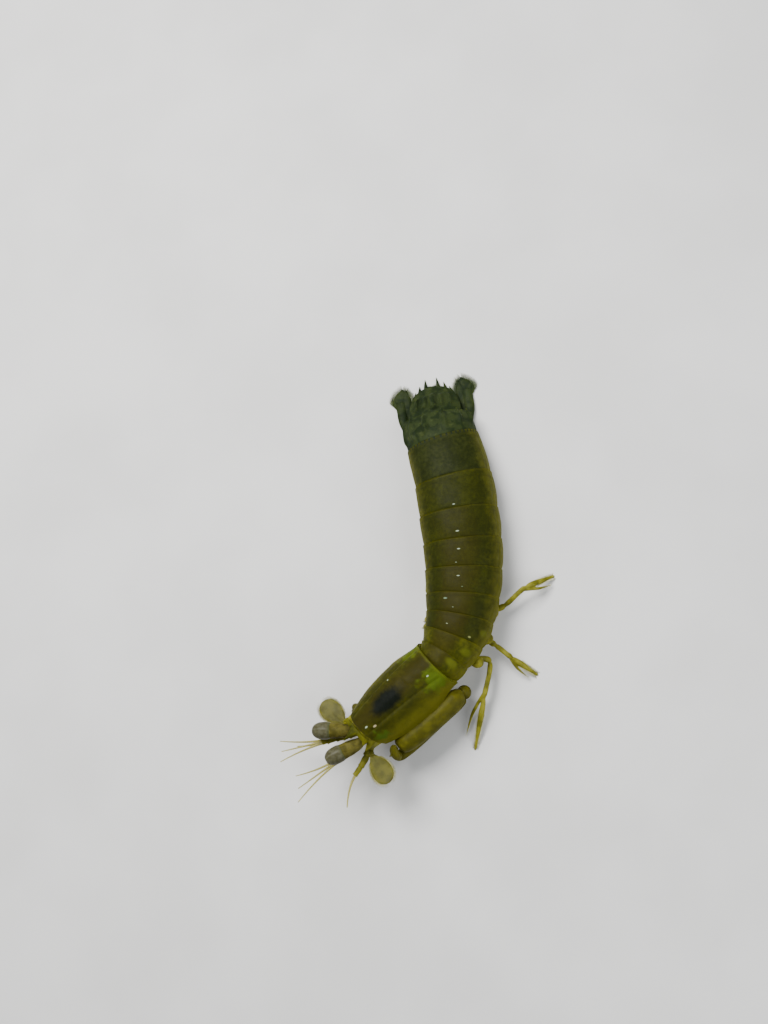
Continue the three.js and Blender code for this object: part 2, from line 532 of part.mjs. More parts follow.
// Raptorial claws: folded under the carapace edge, the clubs at the rear and the wrists at the front.
// The left one stands out from the edge and the right one is drawn in under it.
const CLAW_SET = {
  left: { outward: 0.6, meralWidth: 2.2, stretch: 1.2, flare: 0.06 },
  right: { outward: -0.5, meralWidth: 1.3, stretch: 1, flare: 0 },
};
for (const [side, sign] of Object.entries(SIDES)) {
  const { outward, meralWidth, stretch, flare } = CLAW_SET[side];
  const point = (ahead, aside, above) => {
    const behind = Math.max(0, -ahead);
    return inHead(ahead - 0.6 - (stretch - 1) * behind, sign * (aside + outward + flare * behind), above);
  };
  const { meralDepth, palmDepth, palmWidth, club } = CLAW;
  const merus = limb([
    { p: point(-7.9, 5.8, -0.95), wide: meralWidth * 0.5, deep: meralDepth * 0.4 },
    { p: point(-6.4, 6.0, -1.0), wide: meralWidth * 0.85, deep: meralDepth * 0.85 },
    { p: point(-2.5, 6.35, -1.0), wide: meralWidth, deep: meralDepth },
    { p: point(2.0, 6.35, -1.0), wide: meralWidth, deep: meralDepth },
    { p: point(5.2, 6.1, -0.85), wide: meralWidth * 0.9, deep: meralDepth * 0.85 },
    { p: point(6.8, 5.8, -0.7), wide: meralWidth * 0.65, deep: meralDepth * 0.55 },
  ], 12);
  const hip = limb([
    { p: inHead(-4.2, sign * 2.9, CORE.bottom - GAP), wide: 0.8, deep: 0.7, normal: headDown },
    { p: inHead(-4.7, sign * 3.5, CORE.bottom - 0.85), wide: 0.65, deep: 0.55 },
    { p: point(-6.3, 4.8, -1.5), wide: 0.75, deep: 0.65 },
    { p: point(-6.6, 5.9, -1.0), wide: 0.6, deep: 0.6 },
  ], 8, head.forward);
  add("raptorial_merus_" + side, join([merus, hip]), MATERIALS.limb);
  add("raptorial_carpus_" + side, limb([
    { p: point(7.55, 5.7, 0.1), wide: 0.75, deep: 0.6, normal: headDown },
    { p: point(8.1, 5.9, -0.7), wide: 1.25, deep: 0.85, normal: headDown },
    { p: point(8.3, 6.3, -1.5), wide: 1.3, deep: 0.95, normal: headDown },
    { p: point(8.2, 6.4, -2.4), wide: 1.0, deep: 0.85, normal: headDown },
  ], 10, head.forward), MATERIALS.limb);
  add("raptorial_propodus_" + side, limb([
    { p: point(9.0, 6.4, -3.65), wide: palmWidth * 0.45, deep: palmDepth * 0.45 },
    { p: point(8.0, 6.5, -3.95), wide: palmWidth * 0.95, deep: palmDepth * 0.95 },
    { p: point(4.5, 6.8, -4.15), wide: palmWidth, deep: palmDepth },
    { p: point(-1.5, 6.8, -4.1), wide: palmWidth * 0.95, deep: palmDepth * 0.85 },
    { p: point(-6.0, 6.7, -3.8), wide: palmWidth * 0.85, deep: palmDepth * 0.7 },
    { p: point(-7.4, 6.6, -3.7), wide: palmWidth * 0.6, deep: palmDepth * 0.5 },
  ], 10), MATERIALS.limb);
  const heel = point(-9.35, 6.2, -3.5);
  const bulb = ellipsoid(head, heel, [club * 0.75, club * 0.9, club * 0.85], 10, 6);
  const finger = limb([
    { p: point(-9.2, 5.8, -3.6), wide: 0.85, deep: 0.85 },
    { p: point(-7.8, 5.0, -3.8), wide: 0.55, deep: 0.7 },
    { p: point(-2.0, 4.85, -3.9), wide: 0.5, deep: 0.65 },
    { p: point(3.0, 4.95, -3.9), wide: 0.4, deep: 0.45 },
    { p: point(5.0, 5.1, -3.9), wide: 0.2, deep: 0.2 },
  ], 8);
  add("raptorial_dactyl_" + side, join([bulb, finger]), MATERIALS.limb);
}

// Small maxillipeds: thin limbs under the head, each with a rounded hand turned forward.
const MAXILLIPEDS = [
  { name: "maxilliped_3", root: -4.2, aside: 0.9 },
  { name: "maxilliped_4", root: -6.0, aside: 2.0 },
  { name: "maxilliped_5", root: -7.6, aside: 3.1 },
];
for (const { name, root, aside } of MAXILLIPEDS) {
  for (const [side, sign] of Object.entries(SIDES)) {
    const point = (ahead, outward, above) => inHead(root + ahead, sign * (aside + outward), above);
    const arm = [
      { p: point(0, 0, CORE.bottom - GAP), wide: 0.6, deep: 0.4, normal: headDown },
      { p: point(-0.2, 0, CORE.bottom - 1.3), wide: 0.55, deep: 0.4 },
      { p: point(0.5, 0, CORE.bottom - 2.2), wide: 0.5, deep: 0.36 },
      { p: point(2.4, 0, CORE.bottom - 2.3), wide: 0.7, deep: 0.38 },
      { p: point(3.9, 0, CORE.bottom - 2.1), wide: 1.0, deep: 0.38 },
      { p: point(5.1, 0, CORE.bottom - 2.0), wide: 0.75, deep: 0.36 },
      { p: point(5.8, 0, CORE.bottom - 1.9), wide: 0.3, deep: 0.2 },
    ];
    add(name + "_" + side, limb(arm, 8, sign > 0 ? head.left : head.left.clone().negate()), MATERIALS.limb);
  }
}

// Walking legs: each has a jointed stalk, a long outer blade that ends on the floor and a slim inner one.
// Knees and feet are measured from the ring's middle: ahead, outwards, and the height above the floor.
const LEGS = [
  { name: "leg_1", ring: "thorax_6", left: [[-1.3, 7.6, 3.7], [5.2, 9.8, 3.4], [15.8, 12.4, 0]],
    right: [[-1.5, 6.0, 3.5], [-2.2, 7.5, 2.3], [-2.3, 8.0, 0]] },
  { name: "leg_2", ring: "thorax_7", left: [[0.6, 7.4, 3.5], [2.2, 11.4, 4.2], [4.0, 17.0, 0]],
    right: [[-0.6, 6.0, 3.4], [-0.9, 7.5, 2.2], [-1.0, 8.0, 0]] },
  { name: "leg_3", ring: "thorax_8", left: [[-1.6, 7.8, 3.5], [-5.6, 11.8, 4.0], [-9.0, 17.0, 0]],
    right: [[-1.2, 6.3, 3.3], [-3.2, 7.8, 2.4], [-5.4, 8.1, 0]] },
];
const legGirth = (share) => 0.78 - 0.34 * share + 0.07 * Math.sin(6 * Math.PI * share);
for (const leg of LEGS) {
  const ring = frameAt(PARTS.indexOf(leg.ring) + 0.5);
  for (const [side, sign] of Object.entries(SIDES)) {
    const [bend, knee, foot] = leg[side].map(([ahead, aside, height]) =>
      at(ring, ahead, sign * aside, 0).setZ(height));
    const hip = at(ring, -0.1, sign * 4.5, -1.2);
    const shin = knee.clone().lerp(foot, 0.55).add(V(0, 0, 0.25));
    const ankle = foot.clone().lerp(knee, 0.07).setZ(0.45);
    const route = new THREE.CatmullRomCurve3([at(ring, 0, sign * 4.1, THORAX_STERNUM - GAP), hip, bend, knee,
      shin, ankle], false, "centripetal");
    const stations = Array.from({ length: 10 }, (_, i) => ({
      p: route.getPointAt(i / 9),
      wide: legGirth(i / 9),
      deep: legGirth(i / 9) * (1 - 0.3 * i / 9),
    }));
    stations[0].normal = ring.up.clone().negate();
    stations.push({ p: foot, wide: 0.27, deep: 0.27, normal: V(0, 0, -1) });
    const outward = foot.clone().sub(knee).setZ(0).normalize();
    const across = V(0, 0, 1).cross(outward).multiplyScalar(-sign);
    const reach = knee.distanceTo(foot);
    const inner = limb([
      { p: knee.clone().lerp(bend, 0.1), wide: 0.4, deep: 0.35 },
      { p: knee.clone().lerp(foot, 0.4).addScaledVector(across, 0.16 * reach), wide: 0.36, deep: 0.3 },
      { p: knee.clone().lerp(foot, 0.78).addScaledVector(across, 0.2 * reach), wide: 0.16, deep: 0.16 },
    ], 6);
    add(leg.name + "_" + side, join([limb(stations, 8), inner]), MATERIALS.limb);
  }
}

// Swimming limbs: under each of the first five abdomen rings, a short block with two leaf-shaped flaps.
for (let k = 1; k <= 5; k++) {
  const ring = frameAt(PARTS.indexOf("abdomen_" + k) + 0.62);
  const room = ring.origin.z;
  const drop = Math.min(1.6, room - 1.6);
  for (const [side, sign] of Object.entries(SIDES)) {
    const point = (ahead, aside, above) => at(ring, ahead, sign * aside, above);
    const block = limb([
      { p: point(0, 3.1, ABDOMEN_STERNUM - GAP), wide: 1.3, deep: 0.8, normal: ring.up.clone().negate() },
      { p: point(-0.4, 3.2, ABDOMEN_STERNUM - 1.7), wide: 1.2, deep: 0.65 },
    ], 6, ring.forward);
    const flaps = [[3.9, 4.7], [2.3, 1.7]].map(([from, to]) =>
      leaf(point(-0.2, from, ABDOMEN_STERNUM - 1.5), point(-FLAP.length, to, -drop),
        ring.up.clone().addScaledVector(ring.forward, -0.3), FLAP.width * 0.85, FLAP.thick, 4, 0.5));
    add("pleopod_" + k + "_" + side, join([block, ...flaps]), MATERIALS.limb);
  }
}

// Puts the middle of the footprint at the origin and the lowest foot on the floor.
const reach = new THREE.Box3().setFromObject(animal);
animal.position.set(-(reach.min.x + reach.max.x) / 2, -(reach.min.y + reach.max.y) / 2, -reach.min.z);

export default animal;
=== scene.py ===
"""A green smasher mantis shrimp: its looks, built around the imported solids.

The shapes are worked out in millimetres along the same line of joints as the solids, from the telson's
tip to the rostrum, and put in the frame's metres at the end.
"""

import math
import random

import bpy
import numpy as np
from mathutils import Matrix, Vector, noise


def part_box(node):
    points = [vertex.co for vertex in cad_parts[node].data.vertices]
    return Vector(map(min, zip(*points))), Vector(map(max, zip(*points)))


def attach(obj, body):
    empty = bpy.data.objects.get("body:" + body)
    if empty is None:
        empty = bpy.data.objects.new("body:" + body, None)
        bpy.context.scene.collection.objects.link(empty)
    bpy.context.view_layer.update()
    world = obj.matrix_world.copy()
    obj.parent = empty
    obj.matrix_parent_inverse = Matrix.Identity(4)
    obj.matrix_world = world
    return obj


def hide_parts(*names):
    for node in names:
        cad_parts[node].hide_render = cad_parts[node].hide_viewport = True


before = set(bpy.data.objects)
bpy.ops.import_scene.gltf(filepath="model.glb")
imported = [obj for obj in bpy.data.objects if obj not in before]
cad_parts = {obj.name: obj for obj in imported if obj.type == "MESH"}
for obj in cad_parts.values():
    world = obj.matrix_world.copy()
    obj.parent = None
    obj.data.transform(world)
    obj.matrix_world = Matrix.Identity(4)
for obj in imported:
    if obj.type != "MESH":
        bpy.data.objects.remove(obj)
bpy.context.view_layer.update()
random.seed(7)

MM = 0.001
GAP = 0.3
SIDES = {"left": 1, "right": -1}
TELSON_LENGTH = 9.7
SHIELD_LENGTH = 19.2

# From tail to head: part, length, heading, height of the side edges, half width, arch and roll.
JOINTS = [
    ("telson", TELSON_LENGTH, -86.5, 1.0, 4.0, 1.4, 0),
    ("abdomen_6", 5.8, -74, 2.0, 6.7, 4.6, 0),
    ("abdomen_5", 8.6, -75, 2.9, 7.5, 5.8, 0),
    ("abdomen_4", 7.0, -81, 3.8, 7.9, 6.5, 0),
    ("abdomen_3", 6.0, -83, 4.4, 8.0, 6.8, 0),
    ("abdomen_2", 5.7, -88, 4.7, 7.9, 6.9, 0),
    ("abdomen_1", 5.5, -92, 4.8, 7.7, 6.9, 1),
    ("thorax_8", 4.3, -97, 5.2, 7.3, 6.8, 3),
    ("thorax_7", 4.2, -107, 5.6, 6.8, 6.7, 5),
    ("thorax_6", 3.8, -117, 6.0, 6.2, 6.4, 8),
    ("thorax_5", 2.8, -128, 6.4, 5.3, 5.7, 10),
    ("carapace", SHIELD_LENGTH, -138, 6.9, 4.9, 5.4, 12),
    ("rostral_plate", 3.2, -148, 7.8, 4.6, 5.4, 12),
    ("tip", 0.0, 0.0, 8.0, 3.0, 5.0, 12),
]
PARTS = [joint[0] for joint in JOINTS]
SQUARENESS = 0.87
ABDOMEN_STERNUM = 1.2
THORAX_STERNUM = 0.5

# The camera looks down from a little to the animal's left; the picture is 204.8 mm tall at the animal.
PICTURE_HEIGHT = 204.8
CAMERA_DISTANCE = 300.0
FOCUS_HEIGHT = 8.0
SENSOR_WIDTH = 36
PICTURE_RIGHT = Vector((0.98, 0.0, -0.199))
PICTURE_UP = Vector((0.039, 0.981, 0.191))
TIP_IN_PICTURE = (-2.0, 38.4)
CENTRE_IN_PICTURE = (-12.8, 9.6)


def v3(x, y, z):
    return np.array((x, y, z), float)


def unit(vector):
    return vector / np.linalg.norm(vector)


def lerp(a, b, share):
    return a + (b - a) * share


def smooth(x):
    """0 below 0, 1 above 1, and an even curve between."""
    x = min(1.0, max(0.0, x))
    return x * x * (3 - 2 * x)


def bump(x, width):
    """A rounded bump of height 1 at x = 0."""
    return math.exp(-(x / width) ** 2)


def rough(point, scale):
    """Smooth noise between -1 and 1 at a place in millimetres."""
    return noise.noise(Vector(point) * scale)


def circle(count):
    """The cosine and sine of evenly spaced angles, once round."""
    return [(math.cos(a), math.sin(a)) for a in (2 * math.pi * i / count for i in range(count))]


def squarish(angle):
    """How far aside and how high a body ring's outline is, on an arch squarer than a circle."""
    aside = math.copysign(abs(math.sin(angle)) ** SQUARENESS, angle)
    return aside, max(0.0, math.cos(angle)) ** SQUARENESS


def with_height(point, height):
    return v3(point[0], point[1], height)


def walk_joints():
    points = []
    place = v3(0, 0, 0)
    for _, length, heading, base, _, _, _ in JOINTS:
        points.append(with_height(place, base))
        place = place + length * v3(math.cos(math.radians(heading)), math.sin(math.radians(heading)), 0)
    return points


def spline(points, t, even=False):
    """A smooth curve through the points, where t counts points."""
    last = len(points) - 1
    k = max(0, min(int(t), last - 1))
    w = t - k
    b, c = points[k], points[k + 1]
    a = points[k - 1] if k > 0 else 2 * points[0] - points[1]
    d = points[k + 2] if k + 2 <= last else 2 * points[last] - points[last - 1]
    if even:
        leave, arrive = (c - a) / 2, (d - b) / 2
    else:
        d0, d1, d2 = (max(1e-4, np.linalg.norm(q - p)) ** 0.5 for p, q in ((a, b), (b, c), (c, d)))
        leave = ((b - a) / d0 - (c - a) / (d0 + d1) + (c - b) / d1) * d1
        arrive = ((c - b) / d1 - (d - b) / (d1 + d2) + (d - c) / d2) * d1
    return b + leave * w + (3 * (c - b) - 2 * leave - arrive) * w**2 + (2 * (b - c) + leave + arrive) * w**3


JOINT_POINTS = walk_joints()
GIRTHS = [v3(*joint[4:7]) for joint in JOINTS]


class Frame:
    """A place on the body: forward to the head, left and up."""

    def __init__(self, origin, forward, roll, half=0.0, arch=0.0):
        self.origin = origin
        self.forward = unit(forward)
        level = unit(np.cross(v3(0, 0, 1), self.forward))
        upright = np.cross(self.forward, level)
        self.left = level * math.cos(roll) + upright * math.sin(roll)
        self.up = upright * math.cos(roll) - level * math.sin(roll)
        self.half = half
        self.arch = arch

    def at(self, ahead, aside, above):
        return self.origin + self.forward * ahead + self.left * aside + self.up * above

    def at_height(self, ahead, aside, height):
        level = self.at(ahead, aside, 0)
        return level + self.up * (height - level[2]) / self.up[2]

    def girth(self, v):
        """Half width and arch of the ring here, at v from its rear edge at 0 to its front at 1."""
        fullness = 0.6 * max(0.0, v * (1 - v))
        return self.half + 0.2 * (0.5 - v) + fullness, self.arch + fullness


def frame_at(t):
    step = 0.0013
    forward = spline(JOINT_POINTS, t + step) - spline(JOINT_POINTS, max(0.0, t - step))
    half, arch, roll = spline(GIRTHS, t, even=True)
    return Frame(spline(JOINT_POINTS, t), forward, math.radians(roll), half, arch)


HEAD_JOINT = PARTS.index("carapace")
HEAD = Frame(
    (JOINT_POINTS[HEAD_JOINT] + JOINT_POINTS[HEAD_JOINT + 1]) / 2,
    JOINT_POINTS[HEAD_JOINT + 1] - JOINT_POINTS[HEAD_JOINT],
    math.radians(JOINTS[HEAD_JOINT][6]),
)
TAIL = frame_at(1 - GAP / 2 / TELSON_LENGTH)
RUMP = frame_at(PARTS.index("abdomen_6") + 0.3)


def plain_ring_point(k, u, v):
    """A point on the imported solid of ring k, before it is moved to the frame."""
    margin = GAP / 2 / JOINTS[k][1]
    here = frame_at(k + margin + (1 - 2 * margin) * v)
    girth, arch = here.girth(v)
    aside, rise = squarish((u - 0.5) * math.pi)
    lift = 0.5 * abs(2 * v - 1) ** 3
    return here.at(0, girth * aside, lift * (1 - rise) + arch * rise)


def find_shift():
    """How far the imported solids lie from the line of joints, from one body ring's box."""
    k = PARTS.index("abdomen_3")
    places = np.array([plain_ring_point(k, i / 16, j / 3) for i in range(17) for j in range(4)])
    low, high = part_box("abdomen_3")
    shift = (np.array(low) + np.array(high)) / 2 / MM - (places.min(0) + places.max(0)) / 2
    shift[2] = np.array(high)[2] / MM - places.max(0)[2]
    return shift


SHIFT = find_shift()

# Along a limb segment and along a spine: share of its length, share of its girth.
SEGMENT_PROFILE = ((0, 0.45), (0.04, 0.72), (0.15, 0.95), (0.4, 1.06), (0.75, 0.98), (0.93, 1.12),
                   (0.985, 1.064), (1.0, 0.6))
SPINE_PROFILE = ((0, 1.0), (0.25, 0.86), (0.5, 0.62), (0.75, 0.36), (0.93, 0.14), (1, 0.05))


class Piece:
    """Collects the closed skins of one piece, with a place on each skin as its UV."""

    def __init__(self, name):
        self.name = name
        self.points = []
        self.uvs = []
        self.faces = []

    def add(self, points, uvs, faces):
        start = len(self.points)
        self.points += [tuple(p) for p in points]
        self.uvs += uvs
        self.faces += [tuple(start + i for i in face) for face in faces]

    def plate(self, upper, lower, columns, rows):
        """A closed plate between two surfaces, each a function of u and v."""
        uvs = [(i / columns, j / rows) for j in range(rows + 1) for i in range(columns + 1)]
        points = [surface(u, v) for surface in (upper, lower) for u, v in uvs]
        faces = []

        def face(turn, *corners):
            order = [side * len(uvs) + j * (columns + 1) + i for side, i, j in corners]
            faces.append(order[::turn])

        for j in range(rows):
            for i in range(columns):
                for side, turn in ((0, 1), (1, -1)):
                    face(turn, (side, i, j), (side, i + 1, j), (side, i + 1, j + 1), (side, i, j + 1))
            for i, turn in ((0, 1), (columns, -1)):
                face(turn, (0, i, j), (0, i, j + 1), (1, i, j + 1), (1, i, j))
        for i in range(columns):
            for j, turn in ((0, 1), (rows, -1)):
                face(turn, (0, i, j), (0, i + 1, j), (1, i + 1, j), (1, i, j))
        self.add(points, uvs * 2, faces)

    def loft(self, rings):
        """A closed skin over rings of points, with a fan over each end."""
        count = len(rings[0])
        points = [p for ring in rings for p in ring]
        last = len(rings) - 1
        uvs = [(i / count, k / last) for k in range(last + 1) for i in range(count)]
        faces = []
        for k in range(last):
            for i in range(count):
                j = (i + 1) % count
                faces.append([k * count + i, k * count + j, (k + 1) * count + j, (k + 1) * count + i])
        for k, turn in ((0, -1), (last, 1)):
            points.append(sum(rings[k]) / count)
            uvs.append((0.5, k / last))
            for i in range(count):
                edge = [k * count + i, k * count + (i + 1) % count, len(points) - 1]
                faces.append(edge[::turn])
        self.add(points, uvs, faces)

    def tube(self, stations, sides, steps, upward=None):
        """A smooth limb through stations of (place, radius to the side, radius up and down)."""
        upward = v3(0, 0, 1) if upward is None else upward
        places = [np.asarray(s[0], float) for s in stations]
        sizes = [v3(s[1], s[2], 0) for s in stations]
        rings = []
        for k in range((len(stations) - 1) * steps + 1):
            t = k / steps
            here = spline(places, t)
            along = unit(spline(places, min(t + 0.05, len(places) - 1)) - spline(places, max(t - 0.05, 0)))
            wide, deep, _ = spline(sizes, t, even=True)
            side = np.cross(upward, along)
            side = unit(side if np.linalg.norm(side) > 1e-3 else v3(1, 0, 0))
            over = np.cross(along, side)
            rings.append([
                here + side * max(0.03, wide) * c + over * max(0.03, deep) * s for c, s in circle(sides)
            ])
        self.loft(rings)

    def segment(self, start, end, near, far, sides=16, depth=0.85, upward=None):
        """One limb segment: a narrow root, a full middle and a flared, closed end."""
        start, end = np.asarray(start, float), np.asarray(end, float)
        stations = [
            (lerp(start, end, share), lerp(near, far, share) * size, lerp(near, far, share) * size * depth)
            for share, size in SEGMENT_PROFILE
        ]
        self.tube(stations, sides, 2, upward)

    def cone(self, root, tip, radius, sides=9, bend=None):
        """A spine with a rounded tip, bent sideways by the vector bend."""
        root, tip = np.asarray(root, float), np.asarray(tip, float)
        bend = v3(0, 0, 0) if bend is None else bend
        stations = [(lerp(root, tip, share) + bend * math.sin(math.pi * share), radius * size, radius * size)
                    for share, size in SPINE_PROFILE]
        self.tube(stations, sides, 1, v3(0.13, 0.31, 0.94))

    def ball(self, here, centre, radii, columns=20, rows=12):
        """A rounded lump with radii along a frame's forward, left and up."""
        rings = []
        for tilt in (math.pi * j / rows for j in range(1, rows)):
            rings.append([
                centre - here.forward * radii[0] * math.cos(tilt)
                + here.left * radii[1] * math.sin(tilt) * c + here.up * radii[2] * math.sin(tilt) * s
                for c, s in circle(columns)
            ])
        self.loft(rings)

    def beads(self, path, count, root, taper, waist):
        """A feeler along a path, of beads that shrink towards its tip."""
        stations = []
        for i in range(count + 1):
            share = i / count
            bead = (root - taper * share) * (1.0 if i % 2 else waist)
            stations.append((path(share), bead, bead))
        self.tube(stations, 10, 1)

    def hair(self, root, tip, thickness):
        """One bristle with three sides."""
        along = unit(tip - root)
        side = unit(np.cross(along, v3(0.2, 0.3, 0.93)))
        over = np.cross(along, side)
        base = [root + (side * math.cos(a) + over * math.sin(a)) * thickness for a in (0, 2.1, 4.2)]
        middle = [lerp(root, tip, 0.55) + (p - root) * 0.75 for p in base]
        self.add(base + middle + [tip], [(0, 0)] * 3 + [(0, 0.5)] * 3 + [(0, 1)],
                 [(0, 2, 1), (0, 1, 4, 3), (1, 2, 5, 4), (2, 0, 3, 5), (3, 4, 6), (4, 5, 6), (5, 3, 6)])

    def finish(self, material, slot, *nodes, remesh=None):
        """Makes the object, rides it on the body and stands it for its nodes."""
        mesh = bpy.data.meshes.new(self.name)
        mesh.from_pydata([tuple((np.asarray(p) + SHIFT) * MM) for p in self.points], [], self.faces)
        layer = mesh.uv_layers.new(name="Skin")
        corners = np.zeros(len(mesh.loops), np.int32)
        mesh.loops.foreach_get("vertex_index", corners)
        layer.data.foreach_set("uv", np.array(self.uvs, np.float32)[corners].ravel())
        mesh.materials.append(material)
        piece = bpy.data.objects.new(self.name, mesh)
        bpy.context.collection.objects.link(piece)
        if remesh:
            fuse(piece, remesh * MM)
        for polygon in piece.data.polygons:
            polygon.use_smooth = True
        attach(piece, "root")
        if nodes:
            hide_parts(*nodes)


def fuse(piece, voxel):
    """Melts the skins of a piece into one skin and smooths the joins."""
    melt = piece.modifiers.new("melt", "REMESH")
    melt.mode = "VOXEL"
    melt.voxel_size = voxel
    even = piece.modifiers.new("even", "SMOOTH")
    even.factor = 0.5
    even.iterations = 3
    graph = bpy.context.evaluated_depsgraph_get()
    made = bpy.data.meshes.new_from_object(piece.evaluated_get(graph))
    material = piece.data.materials[0]
    piece.modifiers.clear()
    piece.data = made
    made.materials.clear()
    made.materials.append(material)


class Paint:
    """A node material, built up from a first coat and tones painted over it."""

    def __init__(self, name):
        self.material = bpy.data.materials.new(name)
        self.material.use_nodes = True
        self.tree = self.material.node_tree
        self.shader = self.tree.nodes["Principled BSDF"]
        self.places = self.tree.nodes.new("ShaderNodeTexCoord").outputs
        self.colour = None

    def node(self, kind, inputs, **settings):
        made = self.tree.nodes.new(kind)
        for key, value in settings.items():
            setattr(made, key, value)
        for key, value in inputs.items():
            self.put(made.inputs[key], value)
        return made.outputs

    def put(self, socket, value):
        if isinstance(value, bpy.types.NodeSocket):
            self.tree.links.new(value, socket)
        elif isinstance(value, tuple) and socket.type == "RGBA" and len(value) == 3:
            socket.default_value = (*value, 1.0)
        else:
            socket.default_value = value

    def set(self, **inputs):
        for key, value in inputs.items():
            self.put(self.shader.inputs[key.replace("_", " ")], value)

    def math(self, kind, *values):
        return self.node("ShaderNodeMath", dict(enumerate(values)), operation=kind)[0]

    def vector(self, kind, *values):
        return self.node("ShaderNodeVectorMath", dict(enumerate(values)), operation=kind)[0]

    def cloud(self, size, detail=3.0, twist=0.0):
        """Noise whose lumps are about size millimetres wide."""
        inputs = {"Vector": self.places["Object"], "Scale": 1 / (size * MM), "Detail": detail,
                  "Distortion": twist}
        return self.node("ShaderNodeTexNoise", inputs)["Fac"]

    def cells(self, size):
        inputs = {"Vector": self.places["Object"], "Scale": 1 / (size * MM)}
        return self.node("ShaderNodeTexVoronoi", inputs)["Distance"]

    def between(self, value, low, high, start=0.0, end=1.0):
        inputs = {"Value": value, "From Min": low, "From Max": high, "To Min": start, "To Max": end}
        return self.node("ShaderNodeMapRange", inputs, interpolation_type="SMOOTHSTEP")["Result"]

    def apart(self, value, middle):
        """How far a value is from a middle one."""
        return self.math("ABSOLUTE", self.math("SUBTRACT", value, middle))

    def wavy(self, value, size, reach):
        """A value that wanders by up to reach, in waves about size millimetres wide."""
        return self.math("ADD", value, self.between(self.cloud(size), 0.0, 1.0, -reach, reach))

    def skin(self):
        """The u and v of the skin."""
        split = self.node("ShaderNodeSeparateXYZ", {"Vector": self.places["UV"]})
        return split["X"], split["Y"]

    def spot(self, u, v, wide, long, soft, ragged=0.0):
        """1 inside an oval spot on the skin, 0 outside it."""
        place = self.places["UV"]
        if ragged:
            jitter = self.node("ShaderNodeTexNoise", {"Vector": place, "Scale": 14.0, "Detail": 2.0})["Color"]
            offset = self.vector("SUBTRACT", jitter, (0.5, 0.5, 0.5))
            place = self.vector("ADD", place, self.vector("MULTIPLY", offset, (ragged, ragged, 0)))
        sized = self.vector("MULTIPLY", self.vector("SUBTRACT", place, (u, v, 0)), (1 / wide, 1 / long, 0))
        length = self.node("ShaderNodeVectorMath", {0: sized}, operation="LENGTH")["Value"]
        return self.between(length, 1 - soft, 1 + soft, 1.0, 0.0)

    def mix(self, share, a, b):
        return self.node("ShaderNodeMix", {0: share, 6: a, 7: b}, data_type="RGBA")[2]

    def ground(self, pattern, low, high, deep, light):
        """The first coat: deep where a pattern is low and light where it is high."""
        self.colour = self.mix(self.between(pattern, low, high), deep, light)

    def tint(self, mask, tone):
        """Paints a tone over the coats so far where the mask is 1."""
        self.colour = self.mix(mask, self.colour, tone)

    def freckle(self, size, low, high, strength, tone):
        self.tint(self.between(self.cells(size), low, high, strength, 0.0), tone)

    def relief(self, height, depth, strength):
        inputs = {"Height": height, "Distance": depth * MM, "Strength": strength}
        self.set(Normal=self.node("ShaderNodeBump", inputs)["Normal"])

    def grain(self, cell, lump, depth, strength):
        """Fine relief of cells and lumps, with their sizes in millimetres."""
        self.relief(self.math("ADD", self.cells(cell), self.cloud(lump)), depth, strength)

    def wet(self, gloss=0.56, coat=0.012, glow=0.25, reach=(1.4, 1.3, 0.35)):
        """Finishes the paint as a damp, slightly see-through skin."""
        self.set(Base_Color=self.colour, Coat_Weight=coat, Coat_Roughness=0.3, Specular_IOR_Level=0.045,
                 Roughness=self.between(self.cloud(0.9), 0.3, 0.75, gloss, gloss + 0.16),
                 Subsurface_Weight=glow, Subsurface_Scale=MM, Subsurface_Radius=reach)
        return self.material


BROWN_BAND = (0.025, 0.021, 0.0015)
OLIVE_DEEP = (0.0145, 0.0170, 0.0012)
OLIVE = (0.0245, 0.0275, 0.0016)
OLIVE_LIGHT = (0.058, 0.060, 0.0035)
YELLOW_EDGE = (0.106, 0.102, 0.006)
BRIGHT_RIM = (0.085, 0.095, 0.006)
PALE_DOT = (0.35, 0.42, 0.30)
BLUE_DOT = (0.16, 0.24, 0.15)
# On the carapace: across, along, half width, half length, softness, raggedness and tone.
CARAPACE_SPOTS = (
    (0.72, 0.08, 0.13, 0.13, 0.5, 0.3, (0.056, 0.082, 0.004)),
    (0.24, 0.1, 0.1, 0.12, 0.5, 0.3, (0.058, 0.076, 0.004)),
    (0.80, 0.9, 0.07, 0.06, 0.5, 0.2, (0.045, 0.075, 0.006)),
    (0.535, 0.60, 0.108, 0.18, 0.4, 0.09, (0.002, 0.0035, 0.0015)),
    (0.66, 0.86, 0.013, 0.018, 0.4, 0, (0.40, 0.34, 0.20)),
    (0.60, 0.93, 0.010, 0.014, 0.4, 0, PALE_DOT),
    (0.634, 0.12, 0.008, 0.012, 0.4, 0, PALE_DOT),
    (0.36, 0.45, 0.006, 0.008, 0.4, 0, PALE_DOT),
)


